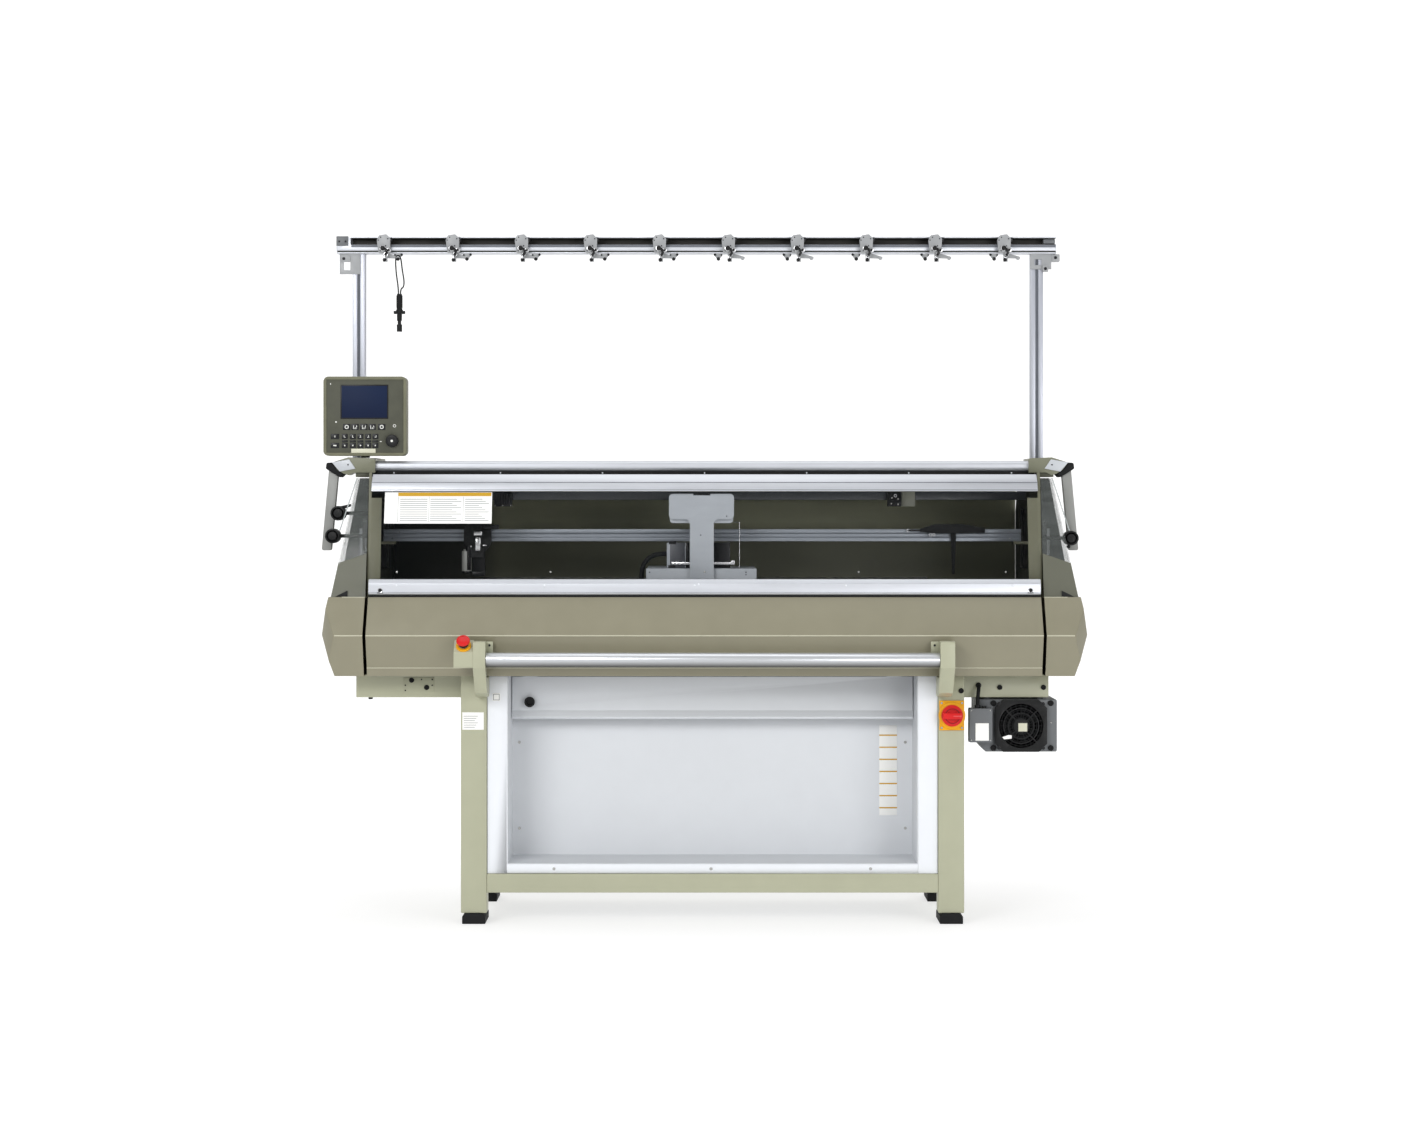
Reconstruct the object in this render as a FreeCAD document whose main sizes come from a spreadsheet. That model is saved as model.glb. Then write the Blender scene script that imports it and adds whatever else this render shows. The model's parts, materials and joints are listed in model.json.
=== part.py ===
import FreeCAD, Part
import Sketcher
import math
import os
import re

V = FreeCAD.Vector
TURN_X = FreeCAD.Rotation(V(0, 1, 0), 90)
TURN_Y = FreeCAD.Rotation(V(1, 0, 0), -90)
TURN_Z = FreeCAD.Rotation()
TURNS = {"x": TURN_X, "y": TURN_Y, "z": TURN_Z}

doc = FreeCAD.newDocument("FlatKnittingMachine")
sheet = doc.addObject("Spreadsheet::Sheet", "Sizes")

# Driving dimensions in millimetres. X runs along the needle beds, -Y is the front, Z is up from the floor.
SIZES = {
    # stand
    "foot_high": 29, "foot_wide": 63, "foot_long": 125, "leg_wide": 70, "leg_deep": 60,
    "leg_left": -658, "leg_right": 631, "stand_front": -230, "stand_rear": 260,
    "beam_low": 84, "beam_high": 135, "beam_deep": 50, "arm_low": 607, "bed_low": 690,
    "arm_front": -170, "arm_rear": 190, "running": 0.05,
    # fabric chamber
    "pillar_wide": 53, "sill_high": 25, "skin": 2, "panel_gap": 5, "chamber_back": -30,
    "pillar_deep": 40, "pillar_set": 8, "pillar_top": 668, "cabinet_top": 600, "cabinet_rear": 207, "door_play": 0.5,
    "deflector_low": 543, "deflector_top": 659, "deflector_y": -92, "deflector_lip": 23,
    # bed
    "bed_half": 905, "bed_top": 930, "bed_thick": 31, "bed_run": 141, "bed_mid": 10, "bed_gap": 4,
    "needle_half": 620, "slot_half": 640, "slot_rear": 50, "ledge_high": 758,
    "roller_radius": 24, "roller_z": 722, "journal": 8, "journal_long": 12,
    # casing
    "cover_sheet": 3, "fascia_top": 883, "fascia_top_y": -260, "ridge_z": 782, "ridge_y": -320,
    "facet_low": 695, "facet_y": -290, "lip_z": 672, "lip_y": -285, "cap_wide": 116,
    "cap_top_in": 17, "cap_low_in": 37, "cap_bevel": 40, "rear_y": 367, "casing_top": 1222,
    "plate_thick": 8, "plate_front": -225, "plate_top_y": -165, "flange_wide": 28, "flange_top": 1150,
    "shield_wide": 94, "shield_top_wide": 33, "shield_top": 1204, "shield_front": -245,
    "shield_top_y": -165, "box_wide": 38, "box_low": 992, "box_high": 1066, "box_front": -58,
    "box_deep": 96,
    # hinged cover
    "hinge_y": -152, "hinge_z": 1202, "hinge_pin": 4, "hinge_long": 14, "side_play": 1,
    "rail_low": 889, "rail_high": 931, "rail_front": -264, "window_low": -252, "window_high": -179,
    "window_thick": 3.5, "toprail_low": 1168,
    # head tube and end brackets
    "tube_low": 1223, "tube_high": 1251, "tube_front": -110, "tube_rear": -66, "tube_wall": 3,
    "bracket_low": 1219, "bracket_high": 1260,
    "bracket_front": -125, "bracket_rear": 158, "bracket_nose": -62, "grip_front": -120,
    "grip_deep": 62, "left_shift": 25, "arm_y": -100, "arm_thick": 26, "arm_end": 1006,
    "handle_radius": 20, "handle_long": 42, "handle_rod": 5, "rod_play": 2, "handle_gap": 0.3,
    # rails
    "feeder_low": 1029, "feeder_high": 1063, "feeder_y": 5, "feeder_deep": 30,
    "upper_low": 1144, "upper_high": 1167, "upper_y": 95, "upper_deep": 25,
    # carriage
    "base_left": -160, "base_right": 142, "base_top": 957, "base_front": -150, "base_slot": 30,
    "carriage_gap": 0.7, "head_left": -97, "head_right": 80, "head_top": 1161, "head_low": 1092,
    "head_under": 1081, "head_rear": 80, "stem_left": -40, "stem_right": 25, "stem_low": 929,
    "stem_thick": 25, "cable_diameter": 13,
    # yarn stand
    "column_wide": 35, "column_y": 112.5, "slot": 8,
    "slot_deep": 6, "top_low": 1839,
    "top_front": 105, "top_deep": 45, "unit_front": 85,
    "knob_radius": 6.5, "knob_long": 12,
    # operation bar, stop button and switch
    "bar_radius": 19.5, "bar_y": -350, "bar_z": 719, "bar_left": -581, "bar_right": 625,
    "bracket_wide": 39, "left_bracket_wide": 33, "holder_front": -372, "holder_top": 769,
    "stop_wide": 51, "stop_radius": 18, "stop_stem": 6, "plate_wide": 67, "switch_z": 563,
    "switch_high": 80, "ring_radius": 36, "ring_thick": 6, "turn_radius": 29, "turn_long": 16,
    # fan
    "fan_low": 460, "fan_high": 602, "fan_deep": 175,
    "fan_z": 531, "fan_bore": 60,
    "hub_radius": 21, "fan_thick": 15, "shaft_radius": 3, "fan_cord": 10,
    # control panel
    "panel_low": 1265, "panel_high": 1482,
    "panel_y": -100, "panel_thick": 56, "panel_round": 14, "neck_radius": 11.5,
    "neck_up": 26, "dial_z": 1305.5, "dial_radius": 17, "dial_long": 13,
    "lanyard": 4,
}

# Places and sizes that follow others, so that one change carries all that is fixed to it
FOLLOWS = {
    "arm_left": "-bed_half - 43", "arm_right": "bed_half + 31", "tube_left": "3 - bed_half",
    "tube_right": "bed_half - 17", "column_left": "-bed_half - 88.5", "column_right": "bed_half + 15.5",
    "top_left": "-bed_half - 133", "top_right": "bed_half + 87", "feeder_left": "11 - bed_half",
    "feeder_right": "bed_half - 24", "handle_x": "bed_half + 95", "unit_first": "2 - bed_half",
    "unit_pitch": "(2 * bed_half - 64) / 9", "panel_left": "-bed_half - 138", "panel_right": "89 - bed_half",
    "neck_x": "-bed_half - 26", "dial_x": "50.4 - bed_half", "fan_left": "bed_half - 163",
    "fan_right": "bed_half + 53", "fan_x": "bed_half - 46", "top_high": "top_low + 48",
    "knob_z": "top_low + 13", "fan_size": "2 * fan_bore + 21", "rotor_radius": "fan_bore - 4",
}

for row, (alias, number) in enumerate(SIZES.items(), start=1):
    sheet.set(f"A{row}", alias)
    sheet.set(f"B{row}", str(number))
    sheet.setAlias(f"B{row}", alias)
doc.recompute()

nodes = {}


def bound(text):
    """An expression with every name that follows others written out, and every size pointing at its cell."""
    while any(name in FOLLOWS for name in re.findall(r"[A-Za-z_]\w*", str(text))):
        text = re.sub(r"[A-Za-z_]\w*", lambda m: f"({FOLLOWS[m[0]]})" if m[0] in FOLLOWS else m[0], str(text))
    return re.sub(r"[A-Za-z_]\w*", lambda m: f"Sizes.{m[0]}" if m[0] in SIZES else m[0], str(text))


def number(text):
    return float(sheet.evalExpression(bound(text)))


def place(shape, x, y, z):
    for axis, text in zip("xyz", (x, y, z)):
        shape.setExpression(f"Placement.Base.{axis}", bound(text))
    return shape


def box(name, x, y, z, long, deep, high):
    solid = doc.addObject("Part::Box", name)
    solid.setExpression("Length", bound(long))
    solid.setExpression("Width", bound(deep))
    solid.setExpression("Height", bound(high))
    return place(solid, x, y, z)


def rod(name, axis, radius, long, x, y, z):
    solid = doc.addObject("Part::Cylinder", name)
    solid.Placement = FreeCAD.Placement(V(), TURNS[axis])
    solid.setExpression("Radius", bound(radius))
    solid.setExpression("Height", bound(long))
    return place(solid, x, y, z)


def outline(name, plane, points, start, long, rounds=()):
    """A closed outline on XY, XZ or YZ, padded from start in the positive direction. rounds holds pairs of
    corner numbers and the radius of their upright edges."""
    body = doc.addObject("PartDesign::Body", name)
    sketch = body.newObject("Sketcher::SketchObject", name + "_sketch")
    base = [item for item in body.Origin.OriginFeatures if item.Role == plane + "_Plane"][0]
    sketch.AttachmentSupport = [(base, "")]
    sketch.MapMode = "FlatFace"
    values = [(number(a), number(b)) for a, b in points]
    count = len(values)
    for near, far in zip(values, values[1:] + values[:1]):
        sketch.addGeometry(Part.LineSegment(V(*near, 0), V(*far, 0)))
    rules = [Sketcher.Constraint("Coincident", i, 2, (i + 1) % count, 1) for i in range(count)]
    for i, (a, b) in enumerate(values):
        rules.append(Sketcher.Constraint("DistanceX", -1, 1, i, 1, a))
        rules.append(Sketcher.Constraint("DistanceY", -1, 1, i, 1, b))
    sketch.addConstraint(rules)
    for i, (a, b) in enumerate(points):
        sketch.setExpression(f"Constraints[{count + 2 * i}]", bound(a))
        sketch.setExpression(f"Constraints[{count + 2 * i + 1}]", bound(b))
    pad = body.newObject("PartDesign::Pad", name + "_pad")
    pad.Profile = sketch
    pad.Reversed = plane == "XZ"
    pad.setExpression("Length", bound(long))
    offset = {"XY": (0, 0, start), "XZ": (0, start, 0), "YZ": (start, 0, 0)}[plane]
    place(body, *offset)
    doc.recompute()
    for step, (corners, radius) in enumerate(rounds):
        tip = body.Tip
        wanted = [values[i] for i in corners]
        names = [f"Edge{i}" for i, edge in enumerate(tip.Shape.Edges, start=1)
                 if stands_at(edge, plane, wanted)]
        fillet = body.newObject("PartDesign::Fillet", f"{name}_round{step}")
        fillet.Base = (tip, names)
        fillet.setExpression("Radius", bound(radius))
        doc.recompute()
    return body


def stands_at(edge, plane, corners):
    """True for an edge along the pad whose two ends both lie on one of the corners."""
    axes = {"XY": "xy", "XZ": "xz", "YZ": "yz"}[plane]
    if len(edge.Vertexes) != 2:
        return False
    ends = [[getattr(v.Point, axis) for axis in axes] for v in edge.Vertexes]
    return any(all(math.dist(end, corner) < 0.01 for end in ends) for corner in corners)


def cut(name, base, *tools):
    for step, tool in enumerate(tools):
        last = step == len(tools) - 1
        result = doc.addObject("Part::Cut", name if last else f"{name}_cut{step}")
        result.Base = base
        result.Tool = tool
        base = result
    return base


def fuse(name, *parts):
    result = doc.addObject("Part::MultiFuse", name)
    result.Shapes = list(parts)
    result.Refine = True
    return result


def common(name, *parts):
    result = doc.addObject("Part::MultiCommon", name)
    result.Shapes = list(parts)
    return result


def group(name, *parts):
    result = doc.addObject("Part::Compound", name)
    result.Links = list(parts)
    return result


def mirror(name, source, shift="0"):
    """The same piece on the other side of the machine's middle plane, moved by shift."""
    result = doc.addObject("Part::Mirroring", name)
    result.Source = source
    result.Normal = V(1, 0, 0)
    return place(result, shift, 0, 0)


def shell(name, solid, wall, is_open):
    """Hollows a solid inwards and takes away the faces that is_open picks by their middle and normal."""
    doc.recompute()
    faces = [f"Face{i}" for i, face in enumerate(solid.Shape.Faces, start=1)
             if is_open(face.CenterOfMass, face.normalAt(0, 0))]
    result = doc.addObject("Part::Thickness", name)
    result.Faces = (solid, faces)
    result.Mode = "Skin"
    result.Join = "Intersection"
    result.setExpression("Value", bound(f"-{wall}"))
    return result


def cord_tube(name, points, diameter):
    """A round tube along straight runs joined by tangent arcs, each as large as its two runs allow."""
    spots = [V(*point) for point in points]
    edges, start = [], spots[0]
    radii, length = [], 0.0
    for before, corner, after in zip(spots, spots[1:], spots[2:]):
        inward = (corner - before).normalize()
        onward = (after - corner).normalize()
        turn = inward.getAngle(onward)
        reach = 0.45 * min((corner - before).Length, (after - corner).Length)
        radius = reach / math.tan(turn / 2)
        first, last = corner - inward * reach, corner + onward * reach
        middle = (onward - inward).normalize() * (radius / math.cos(turn / 2) - radius) + corner
        edges.append(Part.LineSegment(start, first).toShape())
        edges.append(Part.Arc(first, middle, last).toShape())
        start = last
        radii.append(round(radius, 1))
    edges.append(Part.LineSegment(start, spots[-1]).toShape())
    path = Part.Wire(edges)
    ring = Part.Wire(Part.makeCircle(diameter / 2, spots[0], spots[1] - spots[0]))
    tube = path.makePipeShell([ring], True, True)
    result = doc.addObject("Part::Feature", name)
    result.Shape = tube
    expected = math.pi * diameter ** 2 / 4 * path.Length
    print(f"{name}: length {path.Length:.1f}, radii {radii}, volume {tube.Volume / expected:.4f} of its section")
    return result


def keep(name, item):
    item.Label = name
    nodes[name] = item
    return item


# Stand: two welded side frames, tied by the floor beams

def side_frame(name, leg, arm_start, arm_end, pad_start, pad_end):
    """A welded frame whose arm carries the bed's end on a pad that stops where the bed does."""
    whole = box(name + "_blank", leg, "stand_front", "foot_high", "leg_wide",
                "stand_rear - stand_front", "bed_low - foot_high")
    front, rear = "stand_front + leg_deep", "stand_rear - leg_deep"
    span = "stand_rear - stand_front - 2 * leg_deep"
    under = box(name + "_under", f"{leg} - 1", front, 0, "leg_wide + 2", span, "beam_low")
    window = box(name + "_window", f"{leg} - 1", front, "beam_high", "leg_wide + 2", span,
                 "arm_low - beam_high")
    frame = cut(name + "_frame", whole, under, window)
    arm = box(name + "_arm", arm_start, "arm_front", "arm_low", f"{arm_end} - ({arm_start})",
              "arm_rear - arm_front", "lip_z - arm_low")
    pad = box(name + "_pad", pad_start, "arm_front", "lip_z - 1", f"{pad_end} - ({pad_start})",
              "arm_rear - arm_front", "bed_low - lip_z + 1")
    return fuse(name, frame, arm, pad)


keep("left_stand_frame", side_frame("left_frame", "leg_left", "arm_left", "leg_left + 1",
                                    "-bed_half", "leg_left + 1"))
keep("right_stand_frame", side_frame("right_frame", "leg_right", "leg_right + leg_wide - 1", "arm_right",
                                     "leg_right + leg_wide - 1", "bed_half"))

inner_left, inner_right = "leg_left + leg_wide", "leg_right"
inner_span = f"{inner_right} - ({inner_left})"
beams = [box(f"floor_beam_{side}", inner_left, y, "beam_low", inner_span, "beam_deep",
             "beam_high - beam_low")
         for side, y in (("front", "stand_front"), ("rear", "stand_rear - beam_deep"))]
keep("floor_beams", group("floor_beams_pair", *beams))


def foot(name, leg, y):
    pad = outline(name, "XZ", [("0", "0"), ("foot_wide", "0"), ("foot_wide", "foot_high - 9"),
                               ("foot_wide - 9", "foot_high"), ("9", "foot_high"),
                               ("0", "foot_high - 9")], 0, "foot_long")
    return place(pad, f"{leg} + (leg_wide - foot_wide) / 2", y, 0)


feet = [foot(f"foot_{i}", leg, y)
        for i, (leg, y) in enumerate([(leg, y) for leg in ("leg_left", "leg_right")
                                      for y in ("stand_front - 5", "stand_rear - leg_deep - 15")])]
keep("levelling_feet", group("feet_four", *feet))

# Fabric chamber between the legs

pillar_front = "stand_front + pillar_set"
chamber_left = f"{inner_left} + pillar_wide + 1"
chamber_right = f"{inner_right} - pillar_wide - 1"
chamber_wide = f"{chamber_right} - ({chamber_left})"


def channel(name, x, z, long, high, open_rule):
    blank = box(name + "_blank", x, pillar_front, z, long, "pillar_deep", high)
    return shell(name, blank, "skin", open_rule)


upright = lambda middle, normal: normal.y > 0.9 or abs(normal.z) > 0.9
lying = lambda middle, normal: normal.y > 0.9 or abs(normal.x) > 0.9
pillars = [channel("pillar_left", f"{inner_left} + 1", "beam_high", "pillar_wide",
                   "pillar_top - beam_high", upright),
           channel("pillar_right", chamber_right, "beam_high", "pillar_wide",
                   "pillar_top - beam_high", upright)]
sill = channel("sill", chamber_left, "beam_high", chamber_wide, "sill_high", lying)
keep("chamber_surround", group("chamber_surround_set", *pillars, sill))

tray_low = "beam_high + sill_high"
tray_blank = box("tray_blank", chamber_left, pillar_front, tray_low, chamber_wide,
                 f"chamber_back - ({pillar_front})", f"bed_low - ({tray_low})")
keep("chamber_tray", shell("tray", tray_blank, "skin",
                           lambda middle, normal: normal.y < -0.9 or normal.z > 0.9))

hang = "deflector_top + 1"
deflector_left, deflector_right = f"{chamber_left} + panel_gap", f"{chamber_right} - panel_gap"
deflector = outline("deflector_plate", "YZ", [
    ("deflector_y", "deflector_low + deflector_lip"), ("deflector_y - 14", "deflector_low + 6"),
    ("deflector_y - 8", "deflector_low"), ("deflector_y + 4", "deflector_low"),
    ("deflector_y + 4", "deflector_top"), ("deflector_y", "deflector_top")],
    deflector_left, f"{deflector_right} - ({deflector_left})")
hangers = [box(f"deflector_hanger_{i}", x, "deflector_y", "deflector_top - 1", 40, 4,
               "bed_low - deflector_top + 1")
           for i, x in enumerate((f"{deflector_left} + 30", f"{deflector_right} - 70"))]
sight_hole = rod("deflector_hole", "y", 12.5, 60, f"{deflector_left} + 49", "deflector_y - 20",
                 "deflector_low + 47")
keep("deflector_panel", cut("deflector", fuse("deflector_whole", deflector, *hangers), sight_hole))

cabinet_case = shell("cabinet_case", box("cabinet_blank", inner_left, "chamber_back", "beam_high",
                                         inner_span, "cabinet_rear - chamber_back",
                                         "cabinet_top - beam_high"),
                     "skin", lambda middle, normal: normal.y > 0.9)
louvres = [box(f"louvre_{i}", f"{inner_left} + 150 + {i % 2} * 560", "cabinet_rear - 1",
               f"230 + {i // 2} * 26", 360, "skin + 2", 8) for i in range(12)]
door = cut("cabinet_door", box("door_blank", f"{inner_left} + door_play", "cabinet_rear",
                               "beam_high + door_play", f"{inner_span} - 2 * door_play", "skin",
                               "cabinet_top - beam_high - 2 * door_play"), *louvres)
keep("control_cabinet", group("cabinet_pair", cabinet_case, door))

# Bed beam: two roof-shaped rails of one casting, joined by end blocks, with a slot for the fabric

bed_in, slot_front = "bed_mid - bed_gap", "bed_mid - slot_rear"
roof = f"bed_top - bed_thick + {slot_front} - ({bed_in})"
half = [("arm_front", "bed_low"), ("arm_front", "ledge_high"), (f"{bed_in} - bed_run", "ledge_high"),
        (slot_front, roof), (slot_front, "bed_low")]
front_rail = outline("bed_rail_front", "YZ", half, "-bed_half", "2 * bed_half")
rear_rail = outline("bed_rail_rear", "YZ", [(f"2 * bed_mid - ({y})", z) for y, z in half],
                    "-bed_half", "2 * bed_half")
blocks = [box(f"bed_block_{i}", x, slot_front, "bed_low", "bed_half - slot_half", "2 * slot_rear",
              f"{roof} - bed_low") for i, x in enumerate(("-bed_half", "slot_half"))]
bores = rod("roller_bores", "x", "journal + running", "2 * (slot_half + journal_long + 1)",
            "-(slot_half + journal_long + 1)", "bed_mid", "roller_z")
keep("bed_beam", cut("bed", fuse("bed_whole", front_rail, rear_rail, *blocks), bores))

roller = fuse("roller", rod("roller_drum", "x", "roller_radius", "2 * slot_half - 10",
                            "5 - slot_half", "bed_mid", "roller_z"),
              rod("roller_shaft", "x", "journal", "2 * (slot_half + journal_long)",
                  "-(slot_half + journal_long)", "bed_mid", "roller_z"))
keep("takedown_roller", roller)

plate = [(bed_in, "bed_top"), (f"{bed_in} - bed_run", "bed_top - bed_run"),
         (f"{bed_in} - bed_run", "bed_top - bed_run - bed_thick"), (bed_in, "bed_top - bed_thick")]
keep("front_needle_bed", outline("needle_front", "YZ", plate, "-needle_half", "2 * needle_half"))
keep("rear_needle_bed", outline("needle_rear", "YZ", [(f"2 * bed_mid - ({y})", z) for y, z in plate],
                                "-needle_half", "2 * needle_half"))

# Casing

fascia = outline("fascia", "YZ", [
    ("plate_front + 25", "fascia_top"), ("fascia_top_y", "fascia_top"), ("ridge_y", "ridge_z"),
    ("facet_y", "facet_low"), ("lip_y", "lip_z"), ("stand_front", "lip_z"),
    ("stand_front", "lip_z + cover_sheet"), ("lip_y + cover_sheet", "lip_z + cover_sheet"),
    ("facet_y + cover_sheet", "facet_low + 0.5"), ("ridge_y + cover_sheet * 1.1", "ridge_z"),
    ("fascia_top_y + cover_sheet * 0.7", "fascia_top - cover_sheet"),
    ("plate_front + 25", "fascia_top - cover_sheet")], "-bed_half", "2 * bed_half")
keep("front_fascia", fascia)

cap_start = "bed_half + plate_thick"
cap_end = f"{cap_start} + cap_wide"
cap_side = outline("cap_side", "YZ", [
    ("fascia_top_y", "fascia_top"), ("ridge_y", "ridge_z"), ("facet_y", "facet_low"), ("lip_y", "lip_z"),
    ("rear_y", "lip_z"), ("rear_y", "fascia_top")], cap_start, "cap_wide")
cap_face = outline("cap_face", "XZ", [
    (cap_start, "lip_z"), (f"{cap_end} - cap_low_in", "lip_z"), (cap_end, "ridge_z"),
    (f"{cap_end} - cap_top_in", "fascia_top"), (cap_start, "fascia_top")],
    "ridge_y - 1", "rear_y - ridge_y + 2")
cap_plan = outline("cap_plan", "XY", [
    (cap_start, "ridge_y - 1"), (f"{cap_end} - cap_bevel", "ridge_y - 1"), (cap_end, "ridge_y + 60"),
    (cap_end, "rear_y"), (cap_start, "rear_y")], "lip_z - 1", "fascia_top - lip_z + 2")
right_cap = shell("right_cap", common("cap_solid", cap_side, cap_face, cap_plan), "cover_sheet",
                  lambda middle, normal: normal.x < -0.9)
keep("end_caps", group("end_caps_pair", right_cap, mirror("left_cap", right_cap)))

keep("rear_cover", outline("rear_sheet", "YZ", [
    ("tube_rear + 6", "casing_top"), ("rear_y - 37", "casing_top"), ("rear_y", "casing_top - 92"),
    ("rear_y", "lip_z"), ("stand_rear", "lip_z"), ("stand_rear", "lip_z + cover_sheet"),
    ("rear_y - cover_sheet", "lip_z + cover_sheet"), ("rear_y - cover_sheet", "casing_top - 92.5"),
    ("rear_y - 37 - cover_sheet * 0.7", "casing_top - cover_sheet"),
    ("tube_rear + 6", "casing_top - cover_sheet")], "-bed_half", "2 * bed_half"))

# End frames: a thick plate with a flange behind the window edge, a rail shelf and the cover's hinge pin

plate_out = "bed_half + plate_thick"
frame_plate = outline("frame_plate", "YZ", [
    ("arm_front", "bed_low"), ("plate_front", "fascia_top"), ("plate_top_y", "bracket_low"),
    ("rear_y - 67", "bracket_low"), ("rear_y - cover_sheet - 0.5", "casing_top - 110"),
    ("rear_y - cover_sheet", "bed_low")], "bed_half", "plate_thick")
frame_hole = box("frame_hole", "bed_half - 1", 60, 950, "plate_thick + 2", 180, 170)
slope = "(plate_top_y - plate_front) / (bracket_low - fascia_top)"
flange_end = f"plate_front + {slope} * (flange_top - fascia_top)"
flange = outline("frame_flange", "YZ", [
    ("plate_front", "fascia_top"), (flange_end, "flange_top"), (f"{flange_end} + 4", "flange_top"),
    ("plate_front + 4", "fascia_top")], "bed_half - flange_wide", "flange_wide + 1")
shelf = box("feeder_shelf", "feeder_right - 22", "feeder_y - 5", "feeder_low - 8",
            "bed_half - feeder_right + 23", "feeder_deep + 10", 8)
hinge_pin = rod("hinge_pin", "x", "hinge_pin", "hinge_long + plate_thick", "bed_half - hinge_long",
                "hinge_y", "hinge_z")
right_plate = fuse("right_plate", cut("frame_plate_cut", frame_plate, frame_hole), flange, shelf, hinge_pin)
drive_box = box("drive_box", plate_out, "box_front", "box_low", "box_wide", "box_deep",
                "box_high - box_low")
keep("cover_end_frames", group("end_frames_set", right_plate, drive_box, mirror("left_plate", right_plate),
                               mirror("left_drive_box", drive_box)))

shield_face = outline("shield_face", "XZ", [
    (f"{plate_out} + 1", "fascia_top"), (f"{plate_out} + shield_wide", "fascia_top"),
    (f"{plate_out} + shield_top_wide", "shield_top"), (f"{plate_out} + 1", "shield_top")],
    "shield_front", "rear_y - shield_front")
shield_side = outline("shield_side", "YZ", [
    ("shield_front", "fascia_top"), ("shield_top_y", "shield_top"), ("rear_y - 60", "shield_top"),
    ("rear_y - 8", "fascia_top")], plate_out, "shield_wide + 2")
shield_shell = shell("shield_shell", common("shield_solid", shield_face, shield_side), "cover_sheet",
                     lambda middle, normal: normal.x < -0.9 or normal.z < -0.9)


def rod_hole(name, z):
    return rod(name, "x", "handle_rod + rod_play", "shield_wide", f"{plate_out} + 12",
               "arm_y - arm_thick / 2 - handle_gap - handle_long / 2", z)


right_shield = cut("right_shield", shield_shell, rod_hole("hole_right", 1040))
left_source = cut("left_shield_source", shield_shell, rod_hole("hole_low", 1046), rod_hole("hole_high", 1108))
keep("side_shields", group("shields_pair", right_shield, mirror("left_shield", left_source)))

# Hinged front cover: two aluminium rails and the clear window

cover_left, cover_long = "side_play - bed_half", "2 * (bed_half - side_play)"
keep("cover_bottom_rail", outline("bottom_rail", "YZ", [
    ("rail_front", "rail_low + 4"), ("rail_front + 4", "rail_low"), ("window_low + 14", "rail_low"),
    ("window_low + 14", "rail_high"), ("window_low - 4", "rail_high"), ("rail_front", "rail_high - 12")],
    cover_left, cover_long))
top_rail_blank = outline("top_rail_blank", "YZ", [
    ("window_high - 13", "toprail_low"), ("window_high - 3", "toprail_low + 24"),
    ("hinge_y - 6", "hinge_z + 12"), ("hinge_y + 10", "hinge_z + 12"), ("hinge_y + 10", "hinge_z - 12"),
    ("window_high + 14", "toprail_low")], cover_left, cover_long)
pin_bores = [rod(f"hinge_bore_{i}", "x", "hinge_pin + running", "hinge_long + 1", x, "hinge_y", "hinge_z")
             for i, x in enumerate(("-bed_half", "bed_half - hinge_long - 1"))]
keep("cover_top_rail", cut("top_rail", top_rail_blank, *pin_bores))
keep("cover_window", outline("window", "YZ", [
    ("window_low", "rail_high"), ("window_high", "toprail_low"),
    ("window_high + window_thick", "toprail_low"), ("window_low + window_thick", "rail_high")],
    f"{cover_left} + 1", f"{cover_long} - 2"))

# Head tube, end brackets, grips, guard arms and side handles

tube = outline("tube", "YZ", [
    ("tube_front", "tube_low"), ("tube_rear", "tube_low"), ("tube_rear", "tube_high"),
    ("tube_front", "tube_high")], "tube_left", "tube_right - tube_left", [((0, 3), 12), ((1, 2), 5)])
keep("head_tube", shell("head_tube", tube, "tube_wall", lambda middle, normal: abs(normal.x) > 0.9))

# the slanted line where a bracket's arm meets its grip
grip_line = [("bed_half + 90", "1247"), ("bed_half + 74", "1226"), ("bed_half + 57.6", "1216")]


def end_bracket(name, nose_start, column_start):
    nose = outline(name + "_nose", "XZ", [
        (nose_start, "bracket_low"), (nose_start, "bracket_high - 2"), ("bed_half + 45", "bracket_high + 1"),
        *grip_line, ("bed_half + 45", "1212"), ("bed_half + 30", "bracket_low")],
        "bracket_front", "bracket_nose - bracket_front", [((1, 2), 5)])
    saddle = box(name + "_saddle", column_start, "bracket_nose", "bracket_low",
                 f"bed_half + 60 - ({column_start})", "bracket_rear - bracket_nose", "bracket_high - bracket_low")
    return fuse(name, nose, saddle)


keep("right_end_bracket", end_bracket("right_bracket", "tube_right", "bed_half"))
left_casting = mirror("left_casting", end_bracket("left_bracket_source", "-tube_left - left_shift",
                                                  "bed_half - left_shift + 1"), "-left_shift")
neck = rod("neck", "z", "neck_radius", "panel_low - bracket_high + neck_up", "neck_x", "panel_y",
           "bracket_high")
keep("left_end_bracket", group("left_bracket_set", left_casting, neck))

grip = outline("right_grip", "XZ", [
    grip_line[0], ("bed_half + 106", "1246"), ("bed_half + 108", "1230"), ("bed_half + 68", "1205.5"),
    *reversed(grip_line[1:])], "grip_front", "grip_deep", [((1, 2), 5), ((3,), 4)])
keep("hand_grips", group("grips_pair", grip, mirror("left_grip", grip, "-left_shift")))

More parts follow.
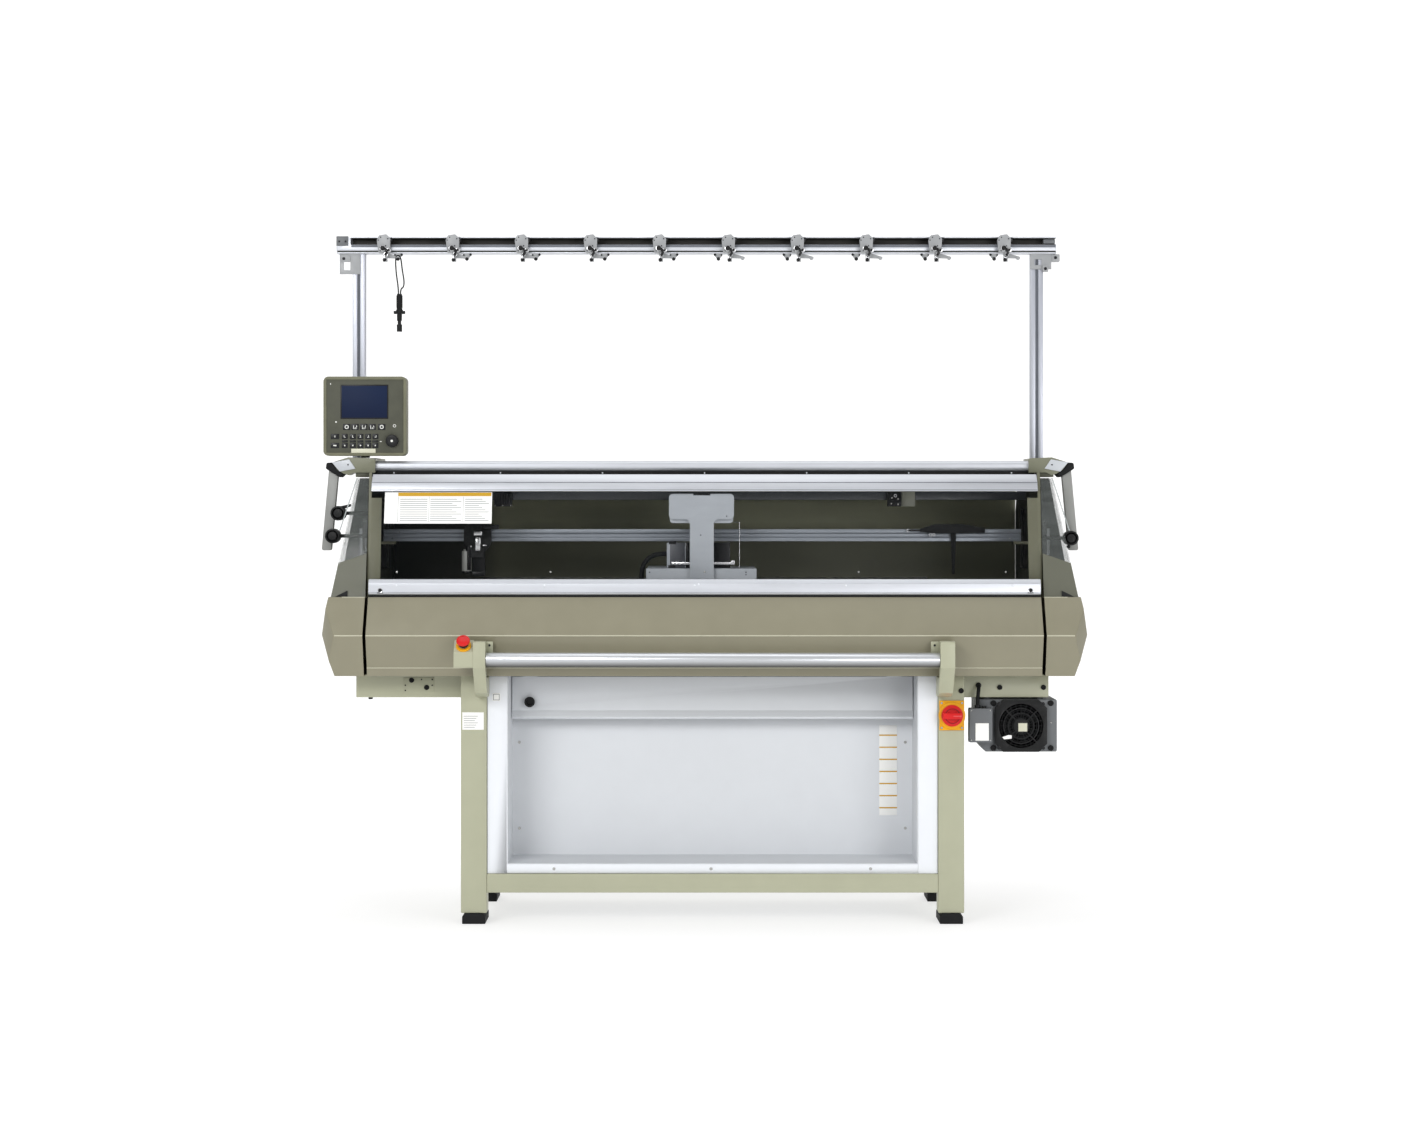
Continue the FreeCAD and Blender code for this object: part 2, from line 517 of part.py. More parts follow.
guard = outline("right_guard", "XZ", [
    ("bed_half + 75", "1209.7"), ("bed_half + 100", "1225"), ("bed_half + 120", "arm_end"),
    ("bed_half + 94", "arm_end")], "arm_y - arm_thick / 2", "arm_thick", [((2, 3), 6)])
face_plate = outline("grip_plate", "XZ", [
    ("bed_half + 25", "1229.7"), ("bed_half + 42.7", "1255.5"), ("bed_half + 90", "1247.3"),
    ("bed_half + 68.3", "1221.7")], "bracket_front - 3", 3)
keep("guard_arms", group("guard_set", guard, face_plate, mirror("left_guard", guard, "-left_shift"),
                         mirror("left_face_plate", face_plate, "-left_shift")))


def side_handle(name, x, z):
    back = "arm_y - arm_thick / 2 - handle_gap"
    barrel = rod(name + "_barrel", "y", "handle_radius", "handle_long", x, f"{back} - handle_long", z)
    stem = rod(name + "_stem", "x", "handle_rod", f"{x} - ({plate_out})", plate_out,
               f"{back} - handle_long / 2", z)
    return fuse(name, barrel, stem)


left_handles = [mirror(f"left_handle_{i}", side_handle(f"handle_source_{i}", x, z))
                for i, (x, z) in enumerate((("handle_x + 15", 1046), ("handle_x", 1108)))]
keep("side_handles", group("handles_set", side_handle("right_handle", "handle_x", 1040), *left_handles))

# Rails inside

feeder = outline("feeder", "YZ", [
    ("feeder_y", "feeder_low"), ("feeder_y + feeder_deep", "feeder_low"),
    ("feeder_y + feeder_deep", "feeder_high"), ("feeder_y", "feeder_high"), ("feeder_y", "feeder_high - 10"),
    ("feeder_y + 3", "feeder_high - 13"), ("feeder_y + 3", "feeder_low + 13"),
    ("feeder_y", "feeder_low + 10")], "feeder_left", "feeder_right - feeder_left")
keep("feeder_rail", feeder)
keep("upper_rail", box("upper", "-bed_half", "upper_y", "upper_low", "2 * bed_half", "upper_deep",
                       "upper_high - upper_low"))

# Carriage: two cam bases that ride the beds, solenoid boxes and the T-shaped bridge over the rails

rise = "bed_top - bed_mid + bed_gap + carriage_gap"
base = [("base_front", f"base_front + 23 + {rise}"), ("base_front", "base_top"),
        ("bed_mid - base_slot", "base_top"), ("bed_mid - base_slot", f"bed_mid - base_slot + {rise}"),
        ("base_front + 23", f"base_front + 23 + {rise}")]
base_front = outline("base_front_block", "YZ", base, "base_left", "base_right - base_left")
base_rear = outline("base_rear_block", "YZ", [(f"2 * bed_mid - ({y})", z) for y, z in base],
                    "base_left", "base_right - base_left")
lug = box("cable_lug", "base_left - 24", -77, 908, 25, 24, 18)
coils = [box("coil_left", -104, -90, "base_top", 62, 50, 69), box("coil_right", 25, -90, "base_top", 45, 50, 69)]
keep("carriage_base", group("carriage_base_set", fuse("base_front_lug", base_front, lug), base_rear, *coils))

bridge_face = outline("bridge_face", "XZ", [
    ("head_left", "head_low"), ("head_left", "head_top"), ("head_right", "head_top"),
    ("head_right", "head_low"), ("stem_right", "head_low"), ("stem_right", "stem_low"),
    ("stem_left", "stem_low"), ("stem_left", "head_low")],
    "base_front - 15", "stem_thick - 10", [((0, 1, 2, 3), 11), ((4, 7), 14)])
bridge_head = outline("bridge_head", "XZ", [
    ("head_left + 2", "head_under"), ("head_left + 2", "head_top - 6"), ("head_right - 2", "head_top - 6"),
    ("head_right - 2", "head_under")], "base_front - 2", "head_rear - base_front + 2", [((0, 1, 2, 3), 10)])
bridge_rear = box("bridge_rear", "stem_left", "head_rear - stem_thick", "base_top",
                  "stem_right - stem_left", "stem_thick", "head_under - base_top + 10")
keep("carriage_bridge", fuse("bridge", bridge_face, bridge_head, bridge_rear))

cable_y, lug_top = -65, 926
keep("carriage_cable", cord_tube("carriage_cable_tube", [
    (-104, cable_y, 996), (-133.6, cable_y, 996), (-159.2, cable_y, 981.2), (-174, cable_y, 955.6),
    (-174, cable_y, lug_top)], number("cable_diameter")))

# Yarn carrier on the feeder rail, gripper unit and feeder stop

carrier_face = "feeder_y - 0.3"
carrier = outline("carrier", "XZ", [
    ("600", "1056"), ("600", "1064"), ("640", "1077"), ("720", "1077"), ("779", "1066"), ("779", "1053"),
    ("700", "1051"), ("640", "1051")], f"{carrier_face} - 16", 16, [((2, 3), 4)])
finger = outline("carrier_finger", "XZ", [("684", "1056"), ("700", "1056"), ("695", "938"), ("689", "938")],
                 f"{carrier_face} - 8", 5)
keep("yarn_carrier", fuse("carrier_whole", carrier, finger))

gripper_parts = [
    outline("gripper_plate", "XZ", [("-668", "1020"), ("-668", "1066"), ("-650", "1078"), ("-600", "1078"),
                                    ("-593", "1066"), ("-593", "1020"), ("-610", "1000"), ("-610", "940"),
                                    ("-640", "940"), ("-648", "1000")], "feeder_y - 22", 22),
    rod("gripper_cylinder", "z", 7, 70, -655, "feeder_y - 30", 950),
    box("gripper_clamp", -662, "feeder_y - 32", 985, 50, 12, 26)]
stop_parts = [box("stop_body", 514, "upper_y - 24", "upper_low - 18", 39, 24, 41),
              box("stop_plate", 553, "upper_y - 6", "upper_low - 18", 39, 6, 41)]
keep("rail_units", group("rail_units_set", fuse("gripper", *gripper_parts), fuse("feeder_stop", *stop_parts)))

# Yarn stand: slotted columns, top rail and ten tension units


def column(name, x):
    blank = box(name + "_blank", x, "column_y", "bracket_high", "column_wide", "column_wide",
                "top_low - bracket_high")
    mid = "(column_wide - slot) / 2"
    deep = "slot_deep + 1"
    far = "column_wide - slot_deep"
    high = "top_low - bracket_high + 2"
    grooves = [
        box(name + "_a", f"{x} + {mid}", "column_y - 1", "bracket_high - 1", "slot", deep, high),
        box(name + "_b", f"{x} + {mid}", f"column_y + {far}", "bracket_high - 1", "slot", deep, high),
        box(name + "_c", f"{x} - 1", f"column_y + {mid}", "bracket_high - 1", deep, "slot", high),
        box(name + "_d", f"{x} + {far}", f"column_y + {mid}", "bracket_high - 1", deep, "slot", high)]
    return cut(name, blank, *grooves)


def rail_plate(name, x, wide, low):
    plate = box(name + "_plate", x, "column_y - 3", low, wide, 3, f"top_low - ({low})")
    hole = box(name + "_hole", f"{x} + 12", "column_y - 4", f"{low} + 12", f"{wide} - 40", 5,
               f"top_low - ({low}) - 28")
    return cut(name, plate, hole)


keep("yarn_stand", group(
    "yarn_stand_set", column("left_column", "column_left"), column("right_column", "column_right"),
    rail_plate("left_rail_plate", "column_left - 36", 58, "top_low - 58"),
    rail_plate("right_rail_plate", "column_right - 2", 60, "top_low - 44")))

top_blank = box("top_blank", "top_left", "top_front", "top_low", "top_right - top_left", "top_deep",
                "top_high - top_low")
channel_cut = box("top_channel", "top_left + 40", "top_front - 1", "top_low + 25", "top_right - top_left",
                  "top_deep - 6", "top_high - top_low - 29")
groove_cut = box("top_groove", "top_left - 1", "top_front - 1", "top_low + 4", "top_right - top_left + 2", 3, 4)
keep("top_rail", cut("top_rail_cut", top_blank, channel_cut, groove_cut))


def tension_unit(name, i):
    x = f"unit_first + {i} * unit_pitch"
    face = outline(name + "_face", "XZ", [
        ("-19", "top_high - 12"), ("-13", "top_high + 2"), ("8", "top_high + 5"), ("19", "top_high - 8"),
        ("17", "top_low + 8"), ("8", "top_low + 1"), ("-14", "top_low + 1"), ("-16", "top_low + 10")],
        "unit_front", "top_front - unit_front", [((0, 1, 2, 3), 5)])
    place(face, x, "unit_front", 0)
    hook = box(name + "_hook", f"{x} - 2", "unit_front + 4", "top_low - 24", 12, 10, 34)
    strut = outline(name + "_strut", "XZ", [("6", "top_low + 2"), ("46", "top_low - 10"),
                                            ("46", "top_low - 15"), ("6", "top_low - 14")],
                    "unit_front + 12", 5)
    place(strut, x, "unit_front + 12", 0)
    post = rod(name + "_post", "y", 5, 16, f"{x} + 40", "unit_front + 4", "top_low - 14")
    return fuse(name, face, hook, strut, post)


keep("tension_plates", group("tension_set", *[tension_unit(f"unit_{i}", i) for i in range(10)]))
for i in range(10):
    keep(f"tension_knob_{i + 1:02d}", rod(f"knob_{i}", "y", "knob_radius", "knob_long",
                                          f"unit_first + {i} * unit_pitch - 2",
                                          "unit_front - knob_long", "knob_z"))

# Lanyard over the first unit's post, with its hook tool

cord_y = 93
keep("lanyard_cord", cord_tube("lanyard_tube", [
    (-862, cord_y, 1724), (-862, cord_y, 1741), (-869, cord_y, 1786), (-870.3, cord_y, 1832.3),
    (-855.7, cord_y, 1832.3), (-851, cord_y, 1790), (-845.5, cord_y, 1760), (-847.5, cord_y, 1743),
    (-856, cord_y, 1738), (-856, cord_y, 1724)], number("lanyard")))
tool = fuse("tool", rod("tool_body", "z", 5, 60, -859, cord_y, 1622),
            rod("tool_neck", "z", 7, 42, -859, cord_y, 1682),
            rod("tool_collar", "x", 4.5, 32, -875, cord_y, 1672),
            rod("tool_tip", "z", 7.5, 20, -859, cord_y, 1618))
keep("hook_tool", tool)

# Operation bar in its brackets, stop box and red button

bar = fuse("bar", rod("bar_tube", "x", "bar_radius", "bar_right - bar_left - 1", "bar_left + 0.5", "bar_y",
                      "bar_z"),
           rod("bar_journal", "x", "journal", "bar_right - bar_left + 2 * journal_long",
               "bar_left - journal_long", "bar_y", "bar_z"))
keep("operation_bar", bar)


def bar_holder(name, x, wide):
    blank = outline(name + "_blank", "YZ", [
        ("stand_front", "615"), ("stand_front", "lip_z - 3"), ("ridge_y - 2", "lip_z - 3"),
        ("ridge_y - 8", "lip_z + 24"), ("ridge_y - 8", "holder_top"), ("holder_front", "holder_top"),
        ("holder_front", "bar_z - 20"), ("-305", "628"), ("-260", "615")], x, wide, [((4, 5), 8)])
    bore = rod(name + "_bore", "x", "journal + running", "journal_long + 1.5",
               "bar_right - 1" if name == "right_holder" else "bar_left - journal_long - 0.5",
               "bar_y", "bar_z")
    return cut(name, blank, bore)


left_holder = bar_holder("left_holder", "bar_left - left_bracket_wide", "left_bracket_wide")
right_holder = bar_holder("right_holder", "bar_right", "bracket_wide")
stop_left = "bar_left - left_bracket_wide - stop_wide"
stop_case = outline("stop_case", "YZ", [
    ("holder_front", "bar_z - 19"), ("ridge_y - 8", "bar_z - 19"), ("ridge_y - 8", "holder_top + 2"),
    ("holder_front + 30", "holder_top + 2"), ("holder_front", "holder_top - 28")], stop_left, "stop_wide")
slant = FreeCAD.Rotation(V(1, 0, 0), 45)
stop_middle = ("holder_front + 15", "holder_top - 13")


def on_stop_axis(name, radius, long, start):
    """A rod on the button's slanted axis, start millimetres out from the box's slanted face."""
    solid = rod(name, "z", radius, long, "0", "0", "0")
    solid.Placement = FreeCAD.Placement(V(), slant)
    lean = f"({start}) * {math.sqrt(0.5):.6f}"
    return place(solid, f"{stop_left} + stop_wide / 2", f"{stop_middle[0]} - {lean}",
                 f"{stop_middle[1]} + {lean}")


stop_box = cut("stop_box", stop_case, on_stop_axis("stop_bore", "stop_stem + running", 26, "-24"))
keep("bar_brackets", group("bar_brackets_set", left_holder, right_holder, stop_box))
button = fuse("button", on_stop_axis("button_stem", "stop_stem", 34, "-16"),
              on_stop_axis("button_neck", 12.5, 11, "8"), on_stop_axis("button_head", "stop_radius", 10, "18"))
doc.recompute()
keep("stop_button", button)

# Main switch on the right leg

switch_x = "leg_right + leg_wide / 2 + 1"
switch_plate = cut("switch_plate", fuse(
    "switch_whole", box("switch_back", f"{switch_x} - plate_wide / 2", "stand_front - 5",
                        "switch_z - switch_high / 2", "plate_wide", 5, "switch_high"),
    rod("switch_ring", "y", "ring_radius", "ring_thick + 1", switch_x, "stand_front - 5 - ring_thick",
        "switch_z")),
    rod("switch_bore", "y", "journal + running", 12, switch_x, "stand_front - 12", "switch_z"))
keep("switch_plate", switch_plate)
turn_front = "stand_front - 5 - ring_thick - turn_long"
keep("switch_knob", fuse(
    "turn", rod("turn_disc", "y", "turn_radius", "turn_long - 8", switch_x, f"{turn_front} + 8", "switch_z"),
    box("turn_grip", f"{switch_x} - turn_radius + 3", f"{turn_front} - 6", "switch_z - 8",
        "2 * turn_radius - 6", 15, 16),
    rod("turn_shaft", "y", "journal", 14, switch_x, "stand_front - 15", "switch_z")))

# Fan box under the right arm, with its guard, rotor and junction box

fan_front = "arm_front - 5"
fan_blank = outline("fan_blank", "XZ", [
    ("fan_left + 22", "fan_low"), ("fan_right", "fan_low"), ("fan_right", "fan_high"),
    ("fan_left", "fan_high"), ("fan_left", "fan_low + 26")], fan_front, "fan_deep", [((1, 2), 5)])
fan_case = shell("fan_case", fan_blank, "skin", lambda middle, normal: normal.y > 0.9)
fan_mouth = rod("fan_mouth", "y", "fan_bore", 10, "fan_x", f"{fan_front} - 1", "fan_z")
studs = [box(f"fan_stud_{i}", x, y, "fan_high - 1", 16, 16, "arm_low - fan_high + 1")
         for i, (x, y) in enumerate([(x, y) for x in ("fan_left + 20", "arm_right - 30")
                                     for y in (f"{fan_front} + 20", f"{fan_front} + 130")])]
keep("fan_box", fuse("fan_box_whole", cut("fan_case_cut", fan_case, fan_mouth), *studs))

guard_front = f"{fan_front} - fan_thick"
corner = "fan_size / 2 - 22"
edge = "fan_size / 2"
octagon = outline("guard_frame", "XZ", [
    (f"-({corner})", f"-({edge})"), (corner, f"-({edge})"), (edge, f"-({corner})"), (edge, corner),
    (corner, edge), (f"-({corner})", edge), (f"-({edge})", corner), (f"-({edge})", f"-({corner})")],
    0, "fan_thick")
place(octagon, "fan_x", guard_front, "fan_z")
guard_frame = cut("guard_ring", octagon, rod("guard_bore", "y", "fan_bore", "fan_thick + 2", "fan_x",
                                             f"{guard_front} - 1", "fan_z"))
spokes = []
for i in range(4):
    spoke = doc.addObject("Part::Box", f"guard_spoke_{i}")
    spoke.Length, spoke.Width = 3, 3
    spoke.setExpression("Height", bound("fan_bore + 2"))
    spoke.Placement = FreeCAD.Placement(V(), FreeCAD.Rotation(V(0, 1, 0), 45 + 90 * i))
    spokes.append(place(spoke, "fan_x", guard_front, "fan_z"))
rings = [cut(f"guard_wire_{i}",
             rod(f"guard_out_{i}", "y", f"{radius} + 2.5", 3, "fan_x", guard_front, "fan_z"),
             rod(f"guard_in_{i}", "y", radius, 4, "fan_x", guard_front, "fan_z"))
         for i, radius in enumerate(("fan_bore - 27", "fan_bore - 14"))]
hub = cut("guard_hub", rod("guard_hub_disc", "y", "hub_radius", 8, "fan_x", guard_front, "fan_z"),
          rod("guard_hub_bore", "y", "shaft_radius + running", 6, "fan_x", f"{guard_front} + 3", "fan_z"))
keep("fan_guard", fuse("fan_guard_whole", guard_frame, *spokes, *rings, hub))

blades = []
for i in range(7):
    blade = doc.addObject("Part::Box", f"fan_blade_{i}")
    blade.Length, blade.Width = 26, 2
    blade.setExpression("Height", bound("rotor_radius - 6"))
    blade.Placement = FreeCAD.Placement(V(), FreeCAD.Rotation(V(0, 1, 0), i * 360 / 7)
                                        * FreeCAD.Rotation(V(0, 0, 1), 32))
    blades.append(place(blade, "fan_x", f"{fan_front} + 3", "fan_z"))
rotor = fuse("rotor", rod("rotor_hub", "y", "hub_radius", 24, "fan_x", f"{fan_front} - 4", "fan_z"),
             rod("rotor_shaft", "y", "shaft_radius", 12, "fan_x", f"{guard_front} + 4", "fan_z"), *blades)
keep("fan_rotor", rotor)

junction = outline("junction", "XZ", [
    ("fan_left - 26", "fan_low + 28"), ("fan_left + 37", "fan_low + 28"), ("fan_left + 37", "fan_high - 22"),
    ("fan_left - 26", "fan_high - 22")], f"{fan_front} - 37", 37, [((0, 1, 2, 3), 4)])
keep("junction_box", junction)
keep("fan_cable", cord_tube("fan_cable_tube", [
    (745, -170, 640), (745, -187, 640), (742, -196, 622), (740, -196, 600), (740, -196, 580)],
    number("fan_cord")))

# Control panel on its neck, and its dial

housing = outline("housing", "XZ", [
    ("panel_left", "panel_low"), ("panel_right", "panel_low"), ("panel_right", "panel_high"),
    ("panel_left", "panel_high")], "panel_y - panel_thick / 2", "panel_thick", [((0, 1, 2, 3), "panel_round")])
panel_front = "panel_y - panel_thick / 2"
face_cut = box("panel_recess", "panel_left + 8", f"{panel_front} - 1", "panel_low + 8",
               "panel_right - panel_left - 16", 3, "panel_high - panel_low - 16")
neck_bore = rod("neck_bore", "z", "neck_radius + running", "neck_up + 2", "neck_x", "panel_y",
                "panel_low - 1")
dial_bore = rod("dial_bore", "y", "journal + running", 14, "dial_x", f"{panel_front} - 1", "dial_z")
keep("panel_housing", cut("panel_case", housing, face_cut, neck_bore, dial_bore))
keep("panel_dial", fuse("dial", rod("dial_cap", "y", "dial_radius", "dial_long", "dial_x",
                                    f"{panel_front} + 1.8 - dial_long", "dial_z"),
                        rod("dial_shaft", "y", "journal", 12, "dial_x", f"{panel_front} - 1", "dial_z")))

doc.recompute()
faults = [item.Name for item in doc.Objects if "Invalid" in item.State or "Error" in item.State]
bad = [name for name, item in nodes.items() if item.Shape.isNull() or not item.Shape.isValid()]
if faults or bad:
    raise SystemExit(f"failed objects {faults}, bad shapes {bad}")
os.makedirs("parts", exist_ok=True)
for name, item in nodes.items():
    item.Shape.exportStep(f"parts/{name}.step")
print(len(nodes), "nodes")
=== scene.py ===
# %% [markdown]
# # A flat knitting machine
# A flat knitting machine knits panels on two long needle beds that lean together like a roof. The mechanics
# come in as a fixed frame of real parts; this lesson gives every surface its finish and adds the small
# parts that a frame leaves out: screws, keys, seals, lugs and plates. Everything is in metres, X along the
# beds, -Y towards the operator and Z up.

# %% Load the frame
import json
import math
import bmesh
import bpy
from mathutils import Matrix, Vector


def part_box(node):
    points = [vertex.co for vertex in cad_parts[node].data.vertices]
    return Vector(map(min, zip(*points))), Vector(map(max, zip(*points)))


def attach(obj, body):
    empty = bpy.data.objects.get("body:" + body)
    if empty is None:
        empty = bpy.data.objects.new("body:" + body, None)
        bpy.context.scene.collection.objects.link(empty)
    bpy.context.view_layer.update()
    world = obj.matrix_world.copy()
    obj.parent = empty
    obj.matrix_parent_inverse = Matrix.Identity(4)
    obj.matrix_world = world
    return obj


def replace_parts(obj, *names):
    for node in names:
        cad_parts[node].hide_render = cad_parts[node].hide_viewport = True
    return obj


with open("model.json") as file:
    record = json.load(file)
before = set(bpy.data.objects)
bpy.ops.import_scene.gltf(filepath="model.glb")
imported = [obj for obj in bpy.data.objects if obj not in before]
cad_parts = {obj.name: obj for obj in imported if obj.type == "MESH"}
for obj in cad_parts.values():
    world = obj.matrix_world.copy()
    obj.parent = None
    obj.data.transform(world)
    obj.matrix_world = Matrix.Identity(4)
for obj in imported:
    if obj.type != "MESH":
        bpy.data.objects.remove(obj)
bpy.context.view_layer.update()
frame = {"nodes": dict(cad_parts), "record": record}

scene = bpy.context.scene
bodies = frame["record"]["behaviour"]["bodies"]
body_of_node = {node: body for body, nodes in bodies.items() for node in nodes}

# %% [markdown]
# ## Camera, light and floor
# The machine is seen almost straight on, from about seven and a half metres, at chest height. A long lens
# at that distance keeps the uprights parallel, and a small downward shift holds the feet in view without
# tilting the camera. The floor and the wall behind it are one curved sheet, so no line crosses the picture.

# %% Camera
eye = bpy.data.cameras.new("eye")
eye.lens = 71.3
eye.shift_x, eye.shift_y = -0.0022, -0.0431
camera = bpy.data.objects.new("camera", eye)
camera.location = (0.0, -7.73, 1.144)
camera.rotation_euler = (math.radians(90), 0, 0)
scene.collection.objects.link(camera)
scene.camera = camera
scene.view_settings.view_transform = "Standard"

# %% [markdown]
# ## Shader maths in Python
# A pattern is easier to read as an expression than as a drawing of nodes. `Wire` holds one socket, and its
# operators add Math nodes; `Finish` holds one material and adds any other node by its type.

# %% Wires and finishes


class Wire:
    """One socket of a material, with arithmetic that adds Math nodes."""

    def __init__(self, finish, socket):
        self.finish, self.socket = finish, socket

    def work(self, operation, first, second):
        return self.finish.node("ShaderNodeMath", {"operation": operation}, {0: first, 1: second})

    def __add__(self, other):
        return self.work("ADD", self, other)

    def __radd__(self, other):
        return self.work("ADD", other, self)

    def __mul__(self, other):
        return self.work("MULTIPLY", self, other)

    def __rmul__(self, other):
        return self.work("MULTIPLY", other, self)


class Finish:
    """A material with one Principled shader. Its constants are set on the shader's own sockets."""

    def __init__(self, name, **constants):
        self.material = bpy.data.materials.new(name)
        self.material.use_nodes = True
        self.tree = self.material.node_tree
        self.shader = self.tree.nodes["Principled BSDF"]
        for socket, value in constants.items():
            socket = socket.replace("_", " ")
            self.shader.inputs[socket].default_value = (*value, 1.0) if isinstance(value, tuple) else value

    def node(self, kind, settings, values, out=0):
        """Adds a node, sets it up, then gives its sockets values or links."""
        made = self.tree.nodes.new(kind)
        for key, value in settings.items():
            setattr(made, key, value)
        for socket, value in values.items():
            self.feed(made.inputs[socket], value)
        return Wire(self, made.outputs[out])

    def feed(self, socket, value):
        if isinstance(value, Wire):
            self.tree.links.new(value.socket, socket)
        elif isinstance(value, tuple) and len(value) == 3 and socket.type == "RGBA":
            socket.default_value = (*value, 1.0)
        else:
            socket.default_value = value

    def place(self, scale=(1, 1, 1), turn=(0, 0, 0)):
        """Object coordinates, stretched and turned."""
        spot = self.node("ShaderNodeTexCoord", {}, {}, out=3)
        return self.node("ShaderNodeMapping", {}, {"Vector": spot, "Scale": scale, "Rotation": turn})

    def noise(self, size, detail=3, **place):
        """Soft random values from 0 to 1 whose blotches are about size metres across."""
        return self.node("ShaderNodeTexNoise", {}, {"Vector": self.place(**place), "Scale": 1 / size,
                                                    "Detail": detail})

    def along(self, axis):
        """How far a point of the piece lies along X, Y or Z, in metres."""
        parts = self.node("ShaderNodeSeparateXYZ", {}, {0: self.node("ShaderNodeTexCoord", {}, {}, out=3)})
        return Wire(self, parts.socket.node.outputs["XYZ".index(axis)])

    def ramp(self, value, low, high, start=0.0, end=1.0):
        return self.node("ShaderNodeMapRange", {}, {"Value": value, "From Min": low, "From Max": high,
                                                    "To Min": start, "To Max": end})

    def blend(self, factor, first, second):
        return self.node("ShaderNodeMix", {"data_type": "RGBA"}, {0: factor, 6: first, 7: second}, out=2)

    def shade(self, **inputs):
        """Feeds the shader's sockets, whose names are written with underscores for spaces."""
        for socket, value in inputs.items():
            self.feed(self.shader.inputs[socket.replace("_", " ")], value)

    def relief(self, height, depth):
        """A bump whose full height stands depth metres proud."""
        return self.node("ShaderNodeBump", {}, {"Height": height, "Distance": depth, "Strength": 1.0})


def light(hexa):
    """A colour written as #rrggbb, as linear light."""
    parts = [int(hexa[i:i + 2], 16) / 255 for i in (1, 3, 5)]
    return tuple(p / 12.92 if p <= 0.04045 else ((p + 0.055) / 1.055) ** 2.4 for p in parts)


def darker(colour, share):
    return tuple(c * share for c in colour)


# %% [markdown]
# ## Finishes
# Powder paint is a smooth film with a fine orange peel and a slight change of tone from place to place.
# Anodised aluminium shows the die's fine lines along its length. Each recipe below is one function, so that
# a family of parts shares it and only the colour differs.

# %% Paint, metal and plastic


def painted(name, hexa, roughness=0.38, peel=0.00012, grain=0.0016, dust=0.06):
    """Powder paint: orange peel in the relief, and a faint uneven film."""
    colour = light(hexa)
    made = Finish(name, Roughness=roughness, Specular_IOR_Level=0.45)
    film = made.noise(0.35, 2)
    grime = made.noise(0.05, 4)
    tone = made.ramp(film * 0.6 + grime * 0.4, 0.3, 0.7)
    made.shade(Base_Color=made.blend(tone, darker(colour, 1 - dust), darker(colour, 1 + dust * 0.5)),
               Roughness=made.ramp(grime, 0.3, 0.7, roughness - 0.05, roughness + 0.07),
               Normal=made.relief(made.noise(grain, 2), peel))
    return made.material


def extruded(name, hexa, roughness=0.3, along=(0.02, 1, 1), lines=0.0006, metallic=0.9, deep=0.00003):
    """Anodised aluminium: fine die lines that run the way that along stretches least."""
    colour = light(hexa)
    made = Finish(name, Metallic=metallic, Roughness=roughness)
    streak = made.noise(lines, 2, scale=along)
    band = made.noise(lines * 12, 1, scale=along)
    smudge = made.noise(0.12, 3)
    tone = streak * 0.5 + band * 0.3 + smudge * 0.2
    made.shade(Base_Color=made.blend(made.ramp(tone, 0.35, 0.65), darker(colour, 0.9), colour),
               Roughness=made.ramp(tone, 0.3, 0.7, roughness - 0.06, roughness + 0.1),
               Normal=made.relief(streak, deep))
    return made.material


def moulded(name, hexa, roughness=0.45, grain=0.0007, deep=0.00005, coat=0.0):
    """Moulded plastic or rubber with a spark-eroded grain."""
    colour = light(hexa)
    made = Finish(name, Roughness=roughness, Specular_IOR_Level=0.25, Coat_Weight=coat, Coat_Roughness=0.15)
    pits = made.node("ShaderNodeTexVoronoi", {}, {"Vector": made.place(), "Scale": 1 / grain})
    rub = made.noise(0.03, 3)
    made.shade(Base_Color=made.blend(made.ramp(rub, 0.35, 0.65), darker(colour, 0.86), colour),
               Roughness=made.ramp(rub, 0.3, 0.7, roughness - 0.06, roughness + 0.08),
               Normal=made.relief(pits, deep))
    return made.material


def clear(name, hexa, alpha, roughness=0.04):
    """Clear acrylic sheet: nearly nothing but its gloss, with a trace of wiping marks. Its own colour is
    dark, so that it lays no veil over what is behind it."""
    made = Finish(name, Base_Color=light(hexa), Roughness=roughness, IOR=1.49)
    wipe = made.noise(0.02, 3, scale=(0.2, 1, 1), turn=(0, 0.5, 0))
    made.shade(Alpha=made.ramp(wipe, 0.35, 0.65, alpha * 0.8, alpha * 1.2),
               Roughness=made.ramp(wipe, 0.3, 0.7, roughness, roughness + 0.05))
    return made.material


# %% [markdown]
# ## The machine's colours
# A machine like this has few finishes, each used on a whole family of parts. They could be made where they
# are first needed, but a list shows at a glance which paints differ only in tone. The stand is khaki, the
# casing is taupe, what lies inside the end frames is a dark olive that paints the shade there, and what the
# hands touch is black or red.

# %% Colours
KHAKI = painted("khaki_paint", "#A9AA92")
TAUPE = painted("taupe_paint", "#87836F", roughness=0.36)
# Paler than the taupe: the painted highlight along folds.
FOLD_HIGHLIGHT = painted("fold_highlight_paint", "#BDBBA6", roughness=0.3)
# Dark olive for the plates under the end brackets, which paint the shade there.
OLIVE = painted("dark_olive_paint", "#4C4D3E", roughness=0.5)
FRAME_OLIVE = painted("frame_olive_paint", "#62624F", roughness=0.45)
# A darker copy of the frame olive for the frames' inward faces: painted shade.
SHADED_OLIVE = painted("shaded_olive_paint", "#2E2F27", roughness=0.55)
WHITE = painted("white_paint", "#E4E7EC", roughness=0.4, dust=0.03)
